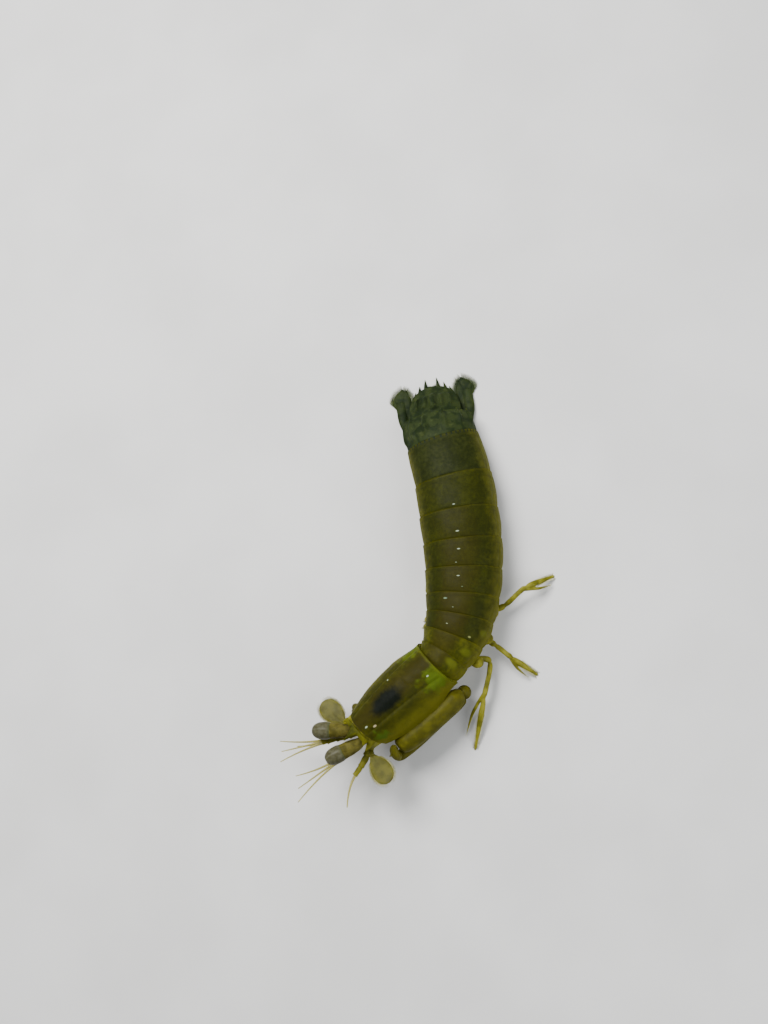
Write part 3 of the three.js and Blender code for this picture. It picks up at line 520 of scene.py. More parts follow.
def shell_paint(name, deep, light, rim_width=0.045, band=0.0, dots=(), dashes=False):
    """Ring skin: mottled, paler along the side edges, with a narrow rear rim."""
    paint = Paint(name)
    u, v = paint.skin()
    paint.ground(paint.math("MULTIPLY", paint.cloud(3.2, 4.0), paint.cloud(0.7)), 0.12, 0.42, deep, light)
    aside = paint.wavy(paint.apart(u, 0.5), 1.6, 0.06)
    if band:
        paint.tint(paint.between(aside, 0.05, 0.2, band, 0.0), BROWN_BAND)
    paint.tint(paint.between(aside, 0.214, 0.5, 0.0, 0.7), YELLOW_EDGE)
    paint.freckle(0.75, 0.06, 0.16, 0.55, tuple(0.45 * c for c in deep))
    along = paint.wavy(v, 1.1, 0.03)
    paint.tint(paint.between(along, rim_width * 0.5, rim_width * 1.6, 0.12, 0.0), YELLOW_EDGE)
    line = paint.apart(along, rim_width * 3.6)
    paint.tint(paint.between(line, 0.0, rim_width * 1.2, 0.22, 0.0), tuple(0.5 * c for c in deep))
    if dashes:
        beat = paint.math("SINE", paint.math("MULTIPLY", u, 150.0))
        near_rim = paint.between(v, 0.05, 0.09, 1.0, 0.0)
        paint.tint(paint.math("MULTIPLY", paint.between(beat, 0.2, 0.8), near_rim), (0.01, 0.015, 0.008))
    for across, ahead, size, tone, strength in dots:
        mask = paint.spot(across, ahead, size, size * 2.2, 0.5)
        paint.tint(paint.math("MULTIPLY", mask, strength), tone)
    paint.grain(0.22, 0.5, 0.02, 0.7)
    return paint.wet()


def carapace_paint():
    """Yellow-olive with a brown band down the middle, one dark blotch and bright green corners."""
    paint = Paint("carapace_skin")
    u, v = paint.skin()
    mottle = paint.math("MULTIPLY", paint.cloud(3.0, 4.0), paint.cloud(0.8))
    paint.ground(mottle, 0.12, 0.42, (0.022, 0.023, 0.0015), (0.038, 0.038, 0.002))
    aside = paint.wavy(paint.apart(u, 0.5), 2.4, 0.05)
    paint.tint(paint.between(aside, 0.05, 0.17, 0.75, 0.0), (0.022, 0.018, 0.001))
    paint.tint(paint.between(aside, 0.22, 0.42, 0.0, 0.85), (0.098, 0.093, 0.005))
    paint.freckle(0.8, 0.06, 0.17, 0.5, (0.015, 0.016, 0.002))
    for *shape, tone in CARAPACE_SPOTS:
        paint.tint(paint.spot(*shape), tone)
    paint.tint(paint.between(paint.wavy(v, 1.1, 0.015), 0.012, 0.04, 0.45, 0.0), BRIGHT_RIM)
    paint.grain(0.24, 0.5, 0.02, 0.7)
    return paint.wet()


def tail_paint():
    """Bluish green with yellow-green mottling."""
    paint = Paint("tail_skin")
    paint.ground(paint.cloud(2.2, 4.0, 0.6), 0.38, 0.62, (0.0085, 0.0150, 0.0045), (0.020, 0.029, 0.008))
    paint.tint(paint.between(paint.cloud(1.1), 0.55, 0.72, 0.0, 0.45), (0.043, 0.053, 0.013))
    paint.freckle(0.6, 0.08, 0.2, 0.6, (0.009, 0.017, 0.005))
    paint.grain(0.3, 0.6, 0.03, 0.8)
    return paint.wet(gloss=0.55, coat=0.01)


def limb_paint(name, deep, light, glow=0.5, clear=1.0):
    """See-through yellow-olive skin with small freckles."""
    paint = Paint(name)
    paint.ground(paint.cloud(1.8), 0.36, 0.64, deep, light)
    paint.freckle(0.5, 0.07, 0.18, 0.6, tuple(0.35 * c for c in deep))
    paint.set(Alpha=clear)
    paint.grain(0.2, 0.4, 0.02, 0.6)
    return paint.wet(gloss=0.45, coat=0.02, glow=glow, reach=(1.2, 1.1, 0.5))


def cornea_paint():
    """Grey-green facets with a paler band round the middle."""
    paint = Paint("cornea_skin")
    u, v = paint.skin()
    turn = paint.math("SINE", paint.math("MULTIPLY", u, 4 * math.pi))
    band = paint.between(paint.math("ABSOLUTE", turn), 0.06, 0.3, 1.0, 0.0)
    paint.ground(paint.cloud(0.8), 0.35, 0.65, (0.050, 0.047, 0.022), (0.075, 0.072, 0.040))
    paint.tint(paint.math("MULTIPLY", band, 0.2), (0.15, 0.15, 0.10))
    paint.tint(paint.between(v, 0.0, 0.12, 0.8, 0.0), (0.05, 0.06, 0.02))
    paint.relief(paint.cells(0.11), 0.012, 0.8)
    return paint.wet(gloss=0.35, coat=0.05, glow=0.15)


def stalk_paint():
    """Eye stalk: olive with dark freckles and a paler end."""
    paint = Paint("stalk_skin")
    paint.ground(paint.cloud(1.2), 0.38, 0.62, (0.050, 0.044, 0.007), (0.085, 0.074, 0.014))
    paint.freckle(0.45, 0.06, 0.2, 0.7, (0.03, 0.032, 0.008))
    paint.tint(paint.between(paint.skin()[1], 0.82, 1.0, 0.0, 0.7), (0.085, 0.080, 0.030))
    paint.relief(paint.cloud(0.3), 0.03, 0.6)
    return paint.wet(glow=0.35)


def bristle_paint(name, deep, light):
    paint = Paint(name)
    paint.ground(paint.cloud(1.0), 0.4, 0.6, deep, light)
    paint.set(Base_Color=paint.colour, Roughness=0.45, Subsurface_Weight=0.4, Subsurface_Scale=MM,
              Subsurface_Radius=(0.6, 0.6, 0.4))
    return paint.material


def feeler_paint():
    """Fine dark rings on a yellow ground."""
    paint = Paint("feeler_skin")
    beat = paint.math("SINE", paint.math("MULTIPLY", paint.skin()[1], 260.0))
    paint.ground(beat, -0.2, 0.7, (0.34, 0.31, 0.12), (0.12, 0.11, 0.03))
    return paint.wet(glow=0.5)


CARAPACE_SKIN = carapace_paint()
TAIL_SKIN = tail_paint()
LIMB_SKIN = limb_paint("limb_skin", (0.095, 0.092, 0.008), (0.19, 0.18, 0.02))
CLAW_SKIN = limb_paint("claw_skin", (0.050, 0.047, 0.0035), (0.072, 0.067, 0.005), 0.3)
UNDER_SKIN = limb_paint("under_skin", (0.15, 0.14, 0.04), (0.25, 0.23, 0.08))
CLEAR_SKIN = limb_paint("clear_skin", (0.060, 0.058, 0.006), (0.10, 0.095, 0.014), 0.4, clear=0.85)
FLAP_SKIN = limb_paint("flap_skin", (0.22, 0.22, 0.08), (0.36, 0.35, 0.16), 0.6)
GILL_SKIN = limb_paint("gill_skin", (0.42, 0.36, 0.26), (0.55, 0.50, 0.38), 0.6)
CORNEA_SKIN = cornea_paint()
STALK_SKIN = stalk_paint()
BRISTLE_SKIN = bristle_paint("bristle_skin", (0.42, 0.40, 0.20), (0.62, 0.60, 0.36))
SCALE_BRISTLE_SKIN = bristle_paint("scale_bristle_skin", (0.14, 0.13, 0.03), (0.24, 0.22, 0.07))
TAIL_BRISTLE_SKIN = bristle_paint("tail_bristle_skin", (0.045, 0.065, 0.025), (0.10, 0.12, 0.05))
FEELER_SKIN = feeler_paint()


# Body rings: two tones, how brown the middle is, and dots as across, along, size, tone and strength.
RING_LOOKS = {
    "abdomen_5": ((0.0105, 0.0140, 0.002), (0.020, 0.0245, 0.004), 0, ()),
    "abdomen_4": (OLIVE_DEEP, OLIVE, 0, [(0.50, 0.84, 0.006, PALE_DOT, 0.8)]),
    "abdomen_3": (OLIVE_DEEP, OLIVE, 0.3, [(0.50, 0.73, 0.008, PALE_DOT, 0.9)]),
    "abdomen_2": (OLIVE_DEEP, OLIVE, 0.5, [(0.50, 0.35, 0.007, PALE_DOT, 0.9),
                                           (0.485, 0.80, 0.005, PALE_DOT, 0.6)]),
    "abdomen_1": (OLIVE_DEEP, OLIVE, 0.6, [(0.50, 0.38, 0.007, PALE_DOT, 0.9),
                                           (0.53, 0.75, 0.005, BLUE_DOT, 0.6)]),
    "thorax_8": (OLIVE_DEEP, OLIVE, 0.7, [(0.42, 0.31, 0.015, BLUE_DOT, 0.85),
                                          (0.49, 0.70, 0.005, PALE_DOT, 0.6)]),
    "thorax_7": (OLIVE_DEEP, OLIVE, 0.75, [(0.48, 0.55, 0.007, PALE_DOT, 0.7),
                                           (0.72, 0.78, 0.016, (0.20, 0.21, 0.07), 0.9),
                                           (0.86, 0.45, 0.05, BRIGHT_RIM, 0.7)]),
    "thorax_6": (OLIVE, OLIVE_LIGHT, 0.75, [(0.78, 0.45, 0.07, BRIGHT_RIM, 0.8)]),
    "thorax_5": (OLIVE, OLIVE_LIGHT, 0.75, [(0.72, 0.45, 0.09, BRIGHT_RIM, 0.8)]),
}
RING_SKIN = 0.4
RING_GRID = (96, 26)
LAST_RING_GRID = (144, 30)
BELLY_GRID = (36, 12)
KEEL_SHARES = (-0.78, -0.46, -0.15, 0.15, 0.46, 0.78)


def ring_relief(here, u, v):
    """The rear rim, side grooves, front fold and ripples of a ring's outer skin."""
    rim = 0.04 * bump(v - 0.02, 0.03)
    groove = 0.07 * bump(abs(u - 0.5) - 0.385, 0.012) * smooth((v - 0.08) / 0.1)
    fold = 0.05 * bump(v - 0.84, 0.02)
    return rim - groove - fold + 0.035 * rough(here.at(0, (u - 0.5) * math.pi * 5, 0), 0.55)


def keel_relief(u, v):
    """The six keels of the last ring."""
    width = 0.035 + 0.01 * math.sin(math.pi * min(1, v / 0.8))
    return sum(0.5 * bump((2 * u - 1) - share, width) * smooth(v / 0.08) * smooth((0.85 - v) / 0.35)
               for share in KEEL_SHARES)


def ring_surface(k, inner=False, keeled=False):
    """A function of u and v over ring k: its outer or its inner skin."""
    sections = {}

    def point(u, v):
        if v not in sections:
            place = lerp(-0.02, 1.07, v)
            here = frame_at(k + place)
            sections[v] = (here, *here.girth(place))
        here, girth, arch = sections[v]
        out = (-RING_SKIN if inner else ring_relief(here, u, v)) - 0.42 * smooth((v - 0.87) / 0.13)
        if keeled:
            out += keel_relief(u, v)
        aside, rise = squarish((u - 0.5) * math.pi)
        corner = 0.75 * abs(2 * v - 1) ** 3 + 0.12 * bump(v - 0.2, 0.15)
        return here.at(0, (girth + out) * aside, corner * (1 - rise) + (arch + out) * rise)

    return point


def build_belly(name, level):
    """The soft, folded underside of a ring."""
    k = PARTS.index(name)
    sections = {}

    def section(v):
        if v not in sections:
            sections[v] = frame_at(k + lerp(0.03, 0.97, v))
        return sections[v]

    def lower(u, v):
        reach = (section(v).half - 0.75) * (2 * u - 1)
        fold = 0.22 * bump(v - 0.5, 0.3) - 0.18 * bump((2 * u - 1), 0.2)
        return section(v).at(0, reach, level - fold * 0.4 + 0.1)

    def upper(u, v):
        return section(v).at(0, (section(v).half - 1.2) * (2 * u - 1), level + 0.9)

    belly = Piece("belly_" + name)
    belly.plate(upper, lower, *BELLY_GRID)
    belly.finish(UNDER_SKIN, "limb")


def build_ring(name):
    k = PARTS.index(name)
    deep, light, band, dots = RING_LOOKS[name]
    paint = shell_paint(name + "_skin", deep, light, band=band, dots=dots, dashes=(name == "abdomen_5"))
    shell = Piece("ring_" + name)
    shell.plate(ring_surface(k), ring_surface(k, inner=True), *RING_GRID)
    shell.finish(paint, "shell", name)
    build_belly(name, THORAX_STERNUM if name.startswith("thorax") else ABDOMEN_STERNUM)


def build_last_ring():
    """The ring before the telson, with six keels that end in spines."""
    k = PARTS.index("abdomen_6")
    shell = Piece("ring_abdomen_6")
    shell.plate(ring_surface(k, keeled=True), ring_surface(k, inner=True), *LAST_RING_GRID)
    here = frame_at(k + 0.12)
    girth, arch = here.girth(0.12)
    for share in KEEL_SHARES:
        aside, rise = squarish(share * math.pi / 2)
        root = here.at(0, girth * aside, (arch + 0.25) * rise)
        shell.cone(root, root - here.forward * 1.15 + here.up * 0.12, 0.3)
    shell.finish(TAIL_SKIN, "tail", "abdomen_6")
    build_belly("abdomen_6", ABDOMEN_STERNUM)


for part in PARTS:
    if part in RING_LOOKS:
        build_ring(part)
build_last_ring()


# The telson. Its bosses: place across, start, end, width and height; its teeth: place across, length, radius.
TELSON_HALF = 5.5
TELSON_FRONT = 3.4
TELSON_FLOOR = 1.6
TELSON_THICK = 0.7
TELSON_GRID = (120, 72)
BOSSES = ((0.0, 0.14, 0.80, 0.115, 0.85), (0.33, 0.22, 0.78, 0.075, 0.65), (0.68, 0.24, 0.82, 0.06, 0.6))
TEETH = ((0.3, 2.3, 0.62), (0.62, 1.5, 0.58), (0.86, 0.9, 0.5))


def telson_floor(v):
    return max(0.0, TELSON_FLOOR * (1 - v / 0.9))


def telson_top(across, v):
    dome = (1 - 0.78 * v) * math.sqrt(1 - 0.85 * across**2)
    return telson_floor(v) + TELSON_THICK + (TELSON_FRONT - TELSON_THICK) * dome


def telson_place(across, v, height):
    length = TELSON_LENGTH * (0.8 - 0.16 * across**2)
    half = TELSON_HALF * (0.95 + 0.25 * v - 0.42 * v**2)
    return TAIL.at_height(-v * length, across * half, height)


def telson_relief(across, v):
    height = 0.0
    for place, start, end, width, high in BOSSES:
        along = smooth((v - start) / 0.16) * smooth((end - v) / 0.14)
        height = max(height, high * along * bump(abs(across) - place, width) ** 0.7)
    return height + 0.06 * rough((across * 5, v * 8, 3), 1.1) - 0.15 * bump(v - 0.04, 0.03)


def build_telson():
    shell = Piece("telson_shield")

    def upper(u, v):
        across = 2 * u - 1
        return telson_place(across, v, telson_top(across, v) + telson_relief(across, v))

    def lower(u, v):
        return telson_place(2 * u - 1, v, telson_floor(v) + 0.02)

    shell.plate(upper, lower, *TELSON_GRID)
    for across, length, radius in TEETH:
        for side in SIDES.values():
            root = telson_place(side * across, 0.82, radius + 0.03)
            tip = telson_place(side * (across - 0.02), 1, 0) - TAIL.forward * length
            shell.cone(root, with_height(tip, 0.3), radius, 14)
    # Fine teeth along the rear edge, between the large ones.
    fine = [(0.04 + 0.026 * i, 0.75 + 0.05 * i, 0.1) for i in range(9)]
    fine += [(across, 0.6, 0.16) for across in (0.47, 0.53, 0.76)]
    for side in SIDES.values():
        for across, length, radius in fine:
            root = telson_place(side * across, 0.97, 0.4)
            shell.cone(root, with_height(root - TAIL.forward * length, 0.25), radius, 7)
    shell.finish(TAIL_SKIN, "tail", "telson")


build_telson()


# Tail fans.
FAN_SHIFT = 1.9


def leaf_half(v, width, root_share, blunt):
    """Half the width of a leaf at v, from its root to a pointed or a blunt tip."""
    swell = math.sin(math.pi * v**0.8) ** 0.8 * 0.9
    if blunt:
        swell = math.sin(math.pi * min(0.5, v * 0.8) if v < 0.62 else 0.5 * math.pi) * 0.9
        swell *= math.sqrt(max(0.0, 1 - (max(0.0, v - 0.62) / 0.38) ** 2.4))
    return width / 2 * max(0.06, root_share * (1 - v) + swell)


def add_leaf(piece, root, tip, face, width, thick, root_share, ribs, rows=26, blunt=False):
    """A flat leaf with rounded sides, and a fine rib down its middle."""
    along = tip - root
    side = unit(np.cross(face, along))
    over = unit(np.cross(along, side))

    def layer(sign):
        def point(u, v):
            across = 2 * u - 1
            thin = thick / 2 * (1 - 0.75 * abs(across) ** 3)
            rib = ribs * (bump(across, 0.12) + 0.4 * bump(abs(across) - 0.55, 0.07)) * (1 - v)
            spread = leaf_half(v, width, root_share, blunt)
            return root + along * v + side * across * spread + over * sign * (thin + max(0.0, rib))

        return point

    piece.plate(layer(1), layer(-1), 16, rows)


def add_fringe(piece, root, tip, face, width, root_share, length, start, count, lie=0.7, blunt=False):
    """Bristles round the rim of a leaf."""
    along = tip - root
    side = unit(np.cross(face, along))
    heading = unit(along)
    for sign in (1, -1):
        for i in range(count):
            v = lerp(start, 0.995, i / (count - 1))
            base = root + along * v + side * sign * leaf_half(v, width, root_share, blunt) * 0.96
            out = unit(side * sign * (1 - 0.8 * v**3) + heading * lie + v3(0, 0, random.uniform(-0.05, 0.1)))
            piece.hair(base, base + out * length * random.uniform(0.8, 1.1), 0.035)


def build_uropod(side, sign):
    def point(ahead, aside, height):
        return TAIL.at_height(ahead + FAN_SHIFT, sign * aside, height)

    base = Piece("uropod_base_" + side)
    base.tube([(RUMP.at(0.3, sign * 4.6, ABDOMEN_STERNUM), 0.8, 0.8), (point(-0.3, 6.5, 1.4), 0.62, 0.62),
               (point(-1.6, 6.9, 0.95), 0.72, 0.6), (point(-3.4, 7.1, 0.7), 0.6, 0.42)], 16, 6)
    base.cone(point(-1.6, 6.7, 0.75), point(-8.8, 6.45, 0.3), 0.42, 10)
    base.cone(point(-1.8, 6.6, 0.65), point(-7.2, 5.9, 0.3), 0.3, 10)
    base.cone(point(-4.0, 6.7, 0.7), point(-5.4, 6.8, 0.75), 0.2, 8)
    outer = [(point(-1.2, 7.0, 0.95), 0.5, 0.4), (point(-3.6, 7.2, 0.7), 0.94, 0.44),
             (point(-6.0, 7.2, 0.55), 1.0, 0.4), (point(-7.7, 7.1, 0.42), 0.9, 0.35),
             (point(-8.1, 7.1, 0.4), 0.35, 0.2)]
    base.tube(outer, 16, 6)
    base.finish(TAIL_SKIN, "tail", "uropod_" + side, remesh=0.075)
    spines = Piece("uropod_spines_" + side)
    for share in ((i + 1) / 10 for i in range(10)):
        start = point(-2.4 - 5.0 * share, 7.55 + 0.2 * share, 0.8 - 0.35 * share)
        end = point(-3.3 - 5.6 * share, 8.1 + 0.2 * share, 0.72 - 0.35 * share)
        spines.cone(start, end, 0.2, 8, bend=TAIL.left * sign * 0.1)
    spines.finish(TAIL_SKIN, "tail")
    leaves = Piece("uropod_leaves_" + side)
    paddle = (point(-6.4, 7.0, 0.3), point(-10.7, 6.3, 0.3), v3(0, 0, 1), 3.2)
    add_leaf(leaves, *paddle, 0.42, 0.6, 0.06)
    inner = (point(-2.6, 6.6, 0.36), point(-10.2, 5.5, 0.32), v3(0, 0, 1), 2.3)
    add_leaf(leaves, *inner, 0.5, 0.6, 0.08)
    leaves.finish(TAIL_SKIN, "tail")
    fringe = Piece("uropod_fringe_" + side)
    add_fringe(fringe, *paddle, 0.6, 1.25, 0.15, 70)
    add_fringe(fringe, *inner, 0.6, 1.0, 0.35, 70)
    fringe.finish(TAIL_BRISTLE_SKIN, "tail")


for side_name, side_sign in SIDES.items():
    build_uropod(side_name, side_sign)


# The carapace.
SHIELD_EDGE = 1.0
SHIELD_SKIN = 0.5
SHIELD_GRID = (150, 96)
ROSTRUM_GRID = (96, 28)
ROSTRUM_HALF = 3.3


def shield_half(v):
    rear_part = lerp(7.0, 6.6, min(1.0, v / 0.4))
    return lerp(rear_part, 4.8, max(0.0, (v - 0.4) / 0.6) ** 2)


def shield_height(v):
    return 7.4 - 0.6 * (1 - v) ** 2 - 1.5 * v**3


def shield_relief(u, v, ahead, aside):
    """Long grooves with raised outer sides, a cross groove, and rims at the rear and the sides."""
    beside = abs(aside) - lerp(3.9, 2.4, v)
    height = -0.18 * bump(beside, 0.28) * smooth(v / 0.12) * smooth((1.0 - v) / 0.06)
    height += 0.05 * bump(beside - 0.75, 0.45)
    height -= 0.10 * bump(v - 0.34, 0.02) * bump(aside, 2.6)
    height += 0.05 * bump(v - 0.012, 0.012)
    height += 0.12 * bump(abs(2 * u - 1) - 0.985, 0.02)
    return height + (0.05 * rough((ahead, aside, 2), 0.4) + 0.02 * rough((ahead, aside, 5), 1.6))


def shield_point(u, v, inset=0.0):
    """A place on the carapace, whose rear collar hugs the thorax."""
    edge = abs(2 * u - 1)
    hug = (0.7 + 0.7 * edge**3) * (1 - smooth(v / 0.35))
    height = shield_height(v) - inset - 0.4 * hug
    angle = (2 * u - 1) * math.acos(SHIELD_EDGE / height)
    ahead = (v - 0.5) * SHIELD_LENGTH - (1.2 * (1 - v) ** 2 + 1.8 * v**3) * edge**2.4 - 0.15 * v
    aside = (shield_half(v) - inset - hug) * math.sin(angle)
    out = 0.0 if inset else shield_relief(u, v, ahead, aside)
    return HEAD.at(ahead, aside + out * math.sin(angle), height * math.cos(angle) + out * math.cos(angle))


def build_carapace():
    shell = Piece("carapace_shield")
    shell.plate(shield_point, lambda u, v: shield_point(u, v, SHIELD_SKIN), *SHIELD_GRID)
    shell.finish(CARAPACE_SKIN, "shell", "carapace")


def build_rostrum():
    """A thin plate with a spine in the middle and one at each front corner."""

    def front(x):
        middle = 0.85 + 2.55 * max(0.0, 1 - abs(x) / 0.95) ** 1.35
        corner = 0.85 + 0.45 * smooth((abs(x) - 2.6) / 0.7)
        return max(middle, corner)

    def place(u, v, sign):
        across = 2 * u - 1
        x = ROSTRUM_HALF * (0.55 * across + 0.45 * across**3)
        y = v * front(x) - 0.15
        thin = 0.3 * (1 - 0.7 * v**4) * (1 - 0.5 * abs(across) ** 8)
        crest = 0.12 * bump(x, 0.35) * v if sign > 0 else 0.0
        height = 5.45 - 0.065 * x * x - 0.12 * y
        return HEAD.at(SHIELD_LENGTH / 2 + GAP + y, -x, height + sign * thin + crest)

    plate = Piece("rostral_plate_skin")
    plate.plate(lambda u, v: place(u, v, 1), lambda u, v: place(u, v, -1), *ROSTRUM_GRID)
    plate.finish(shell_paint("rostrum_skin", OLIVE, OLIVE_LIGHT, 0.02), "shell", "rostral_plate")


build_carapace()
build_rostrum()


# The head's body and the mouth.
CORE_BOTTOM = -1.9
CORE_REAR, CORE_FRONT = -9.0, 10.2
CORE_REAR_HALF, CORE_FRONT_HALF = 3.9, 3.4
CORE_CLEARANCE = 0.55
CORE_RINGS, CORE_SIDES = 36, 52


def core_ring(j):
    v = j / CORE_RINGS
    ahead = lerp(CORE_REAR, CORE_FRONT, v)
    half = lerp(CORE_REAR_HALF, CORE_FRONT_HALF, v)
    share = min(1.0, (ahead + SHIELD_LENGTH / 2) / SHIELD_LENGTH)
    front = smooth((v - 0.88) / 0.12)
    top = shield_height(share) - SHIELD_SKIN - CORE_CLEARANCE - 0.3 * front
    bottom = CORE_BOTTOM + 0.6 * front
    outline = [(-0.75, bottom), (-1, bottom + 1.2), (-0.97, bottom + 3.2), (-0.72, top - 1.1),
               (-0.4, top - 0.25), (0, top), (0.4, top - 0.25), (0.72, top - 1.1), (0.97, bottom + 3.2),
               (1, bottom + 1.2), (0.75, bottom), (0.25, bottom - 0.05), (-0.25, bottom - 0.05)]
    places = [HEAD.at(ahead, a * half, b) for a, b in outline]
    places.append(places[0])
    ring = []
    for t in range(CORE_SIDES):
        uneven = 0.05 * v3(rough((t, j, 1), 0.3), rough((t, j, 4), 0.3), 0)
        ring.append(spline(places, t * len(outline) / CORE_SIDES) + uneven)
    return ring


def build_head_core():
    core = Piece("head_core")
    core.loft([core_ring(j) for j in range(CORE_RINGS + 1)])
    for sign in SIDES.values():
        core.tube([(HEAD.at(CORE_FRONT - 1.5, sign * 3.0, 3.0), 0.9, 0.8),
                   (HEAD.at(CORE_FRONT - 0.2, sign * 3.3, 2.9), 0.7, 0.6),
                   (HEAD.at(CORE_FRONT + 1.3, sign * 3.7, 2.7), 0.08, 0.08)], 10, 4)
    core.finish(LIMB_SKIN, "limb", "cephalon", remesh=0.14)


def build_mouth():
    mouth = Piece("mouth_parts")
    mouth.ball(HEAD, HEAD.at(4.9, 0, CORE_BOTTOM - 0.9), (1.6, 1.0, 0.9))
    for sign in SIDES.values():
        def point(ahead, aside, below):
            return HEAD.at(ahead, sign * aside, CORE_BOTTOM - below)

        mouth.ball(HEAD, point(2.9, 0.8, 0.9), (1.4, 0.8, 1.05))
        mouth.cone(point(3.4, 0.9, 1.5), point(4.4, 0.1, 1.7), 0.3)
        mouth.tube([(point(1.4, 1.2, 0.1), 0.4, 0.4), (point(1.9, 1.3, 1.3), 0.45, 0.3),
                    (point(3.2, 1.5, 1.6), 0.4, 0.2)], 10, 5)
    mouth.finish(CLAW_SKIN, "limb", "mouth", remesh=0.09)


build_head_core()
build_mouth()


# Eyes.
EYE_TURN = {"left": -14, "right": -42}
STALK_LENGTH = 4.3
CORNEA_LENGTH = 3.5
CORNEA_RADIUS = 1.7
CORNEA_RINGS, CORNEA_SIDES = 29, 48


def build_eye(side, sign):
    turn = math.radians(EYE_TURN[side])
    gaze = unit(HEAD.forward * math.cos(turn) + HEAD.left * math.sin(turn) + HEAD.up * 0.1)
    root = HEAD.at(CORE_FRONT + GAP, sign * 1.75, 3.15)
    knee = root + HEAD.forward * 0.9 + gaze * 0.3
    end = knee + gaze * (STALK_LENGTH - 1.1)
    stalk = Piece("eyestalk_skin_" + side)
    stalk.tube([(root - HEAD.forward * 0.5, 0.8, 0.8), (root, 0.86, 0.84), (knee, 1.18, 1.1),
                (lerp(knee, end, 0.5), 1.48, 1.36), (lerp(knee, end, 0.9), 1.52, 1.44),
                (end, 1.56, 1.48), (end + gaze * 0.3, 1.5, 1.42)], 36, 5)
    stalk.finish(STALK_SKIN, "limb", "eyestalk_" + side)
    level = unit(np.cross(HEAD.up, gaze))
    over = np.cross(gaze, level)
    rings = []
    for share in (j / CORNEA_RINGS for j in range(CORNEA_RINGS + 1)):
        size = CORNEA_RADIUS * max(0.03, 1 - abs((share - 0.32) / 0.72) ** 2.6) ** 0.5
        size *= 0.97 + 0.06 * smooth(share / 0.2)
        place = end + gaze * 0.12 + gaze * (CORNEA_LENGTH + 0.15) * share
        ring = []
        for c, s in circle(CORNEA_SIDES):
            waist = 1 - 0.035 * bump(s, 0.18)
            ring.append(place + level * size * waist * c + over * size * 0.95 * waist * s)
        rings.append(ring)
    cornea = Piece("cornea_skin_" + side)
    cornea.loft(rings)
    cornea.finish(CORNEA_SKIN, "cornea", "cornea_" + side)


# Antennules and antennae. Three feelers on each antennule: length, shift aside, lift.
ANTENNULE_AIM = {"left": (0.98, -0.12), "right": (0.86, -0.5)}
ANTENNULE_FEELERS = ((10.5, 0.35, 1.5), (9.0, 0.0, 0.2), (8.0, -0.38, -1.2))
SCALE_LENGTH = 7.0
SCALE_WIDTH = 4.2


def build_antennule(side, sign):
    ahead, aside = ANTENNULE_AIM[side]
    aim = unit(HEAD.forward * ahead + HEAD.left * aside)
    root = HEAD.at(CORE_FRONT + GAP, sign * 1.15, 1.0)

    def step(distance, drop=0.0):
        return root + HEAD.forward * 0.4 + aim * distance + HEAD.up * drop

    stalk = Piece("antennule_stalk_" + side)
    stalk.segment(root - HEAD.forward * 0.4, step(1.4), 0.8, 0.76)
    stalk.segment(step(1.25), step(4.1, -0.1), 0.68, 0.66)
    stalk.segment(step(3.95, -0.1), step(7.1, -0.1), 0.6, 0.58)
    stalk.finish(LIMB_SKIN, "limb", "antennule_" + side)
    feelers = Piece("antennule_feelers_" + side)
    for length, shift, lift in ANTENNULE_FEELERS:
        def path(share):
            drift = shift + shift * 7 * share**1.6
            return step(6.7 + length * share) + HEAD.left * drift + HEAD.up * (-0.1 + lift * share**1.5)

        feelers.beads(path, 40, 0.29, 0.2, 0.86)
    feelers.finish(FEELER_SKIN, "limb")


def build_antenna(side, sign):
    def point(forward, outward, above):
        return HEAD.at(CORE_FRONT + forward, sign * outward, above)

    def path(share):
        outward = 4.55 + 2.2 * share + 1.6 * share**2
        return point(5.9 + 5.5 * share, outward, 1.2 * share - 1.4 * share**2 - 0.6)

    stem = Piece("antenna_stalk_" + side)
    stem.segment(point(-0.2, 2.5, 0.1), point(1.95, 3.4, -0.4), 0.8, 0.8)
    stem.segment(point(1.8, 3.35, -0.4), point(4.3, 4.15, -0.6), 0.68, 0.62)
    stem.segment(point(4.15, 4.1, -0.6), point(6.3, 4.62, -0.6), 0.58, 0.5)
    stem.finish(LIMB_SKIN, "limb", "antenna_" + side)
    lash = Piece("antenna_lash_" + side)
    lash.beads(path, 44, 0.34, 0.22, 0.88)
    lash.finish(FEELER_SKIN, "limb")
    root = point(1.0, 4.4, 0.8)
    tip = root + HEAD.forward * SCALE_LENGTH * 0.12 + HEAD.left * sign * SCALE_LENGTH * 0.96
    leaf = (root, tip, unit(HEAD.up + HEAD.left * sign * 0.25), SCALE_WIDTH)
    scale = Piece("antennal_scale_skin_" + side)
    add_leaf(scale, *leaf, 0.34, 0.2, 0.1, 40, blunt=True)
    scale.segment(point(0.7, 3.4, 0.3), lerp(root, tip, 0.06), 0.5, 0.5)
    scale.finish(CLEAR_SKIN, "limb", "antennal_scale_" + side)
    fringe = Piece("antennal_scale_fringe_" + side)
    add_fringe(fringe, *leaf, 0.2, 0.8, 0.15, 110, lie=0.6, blunt=True)
    fringe.finish(SCALE_BRISTLE_SKIN, "limb")


for side_name, side_sign in SIDES.items():
    build_eye(side_name, side_sign)
    build_antennule(side_name, side_sign)
    build_antenna(side_name, side_sign)


# Raptorial claws: how far outward, half width of the merus, stretch and flare towards the rear.
CLAW_SET = {"left": (0.6, 2.2, 0.2, 0.06), "right": (-0.5, 1.3, 0.0, 0.0)}


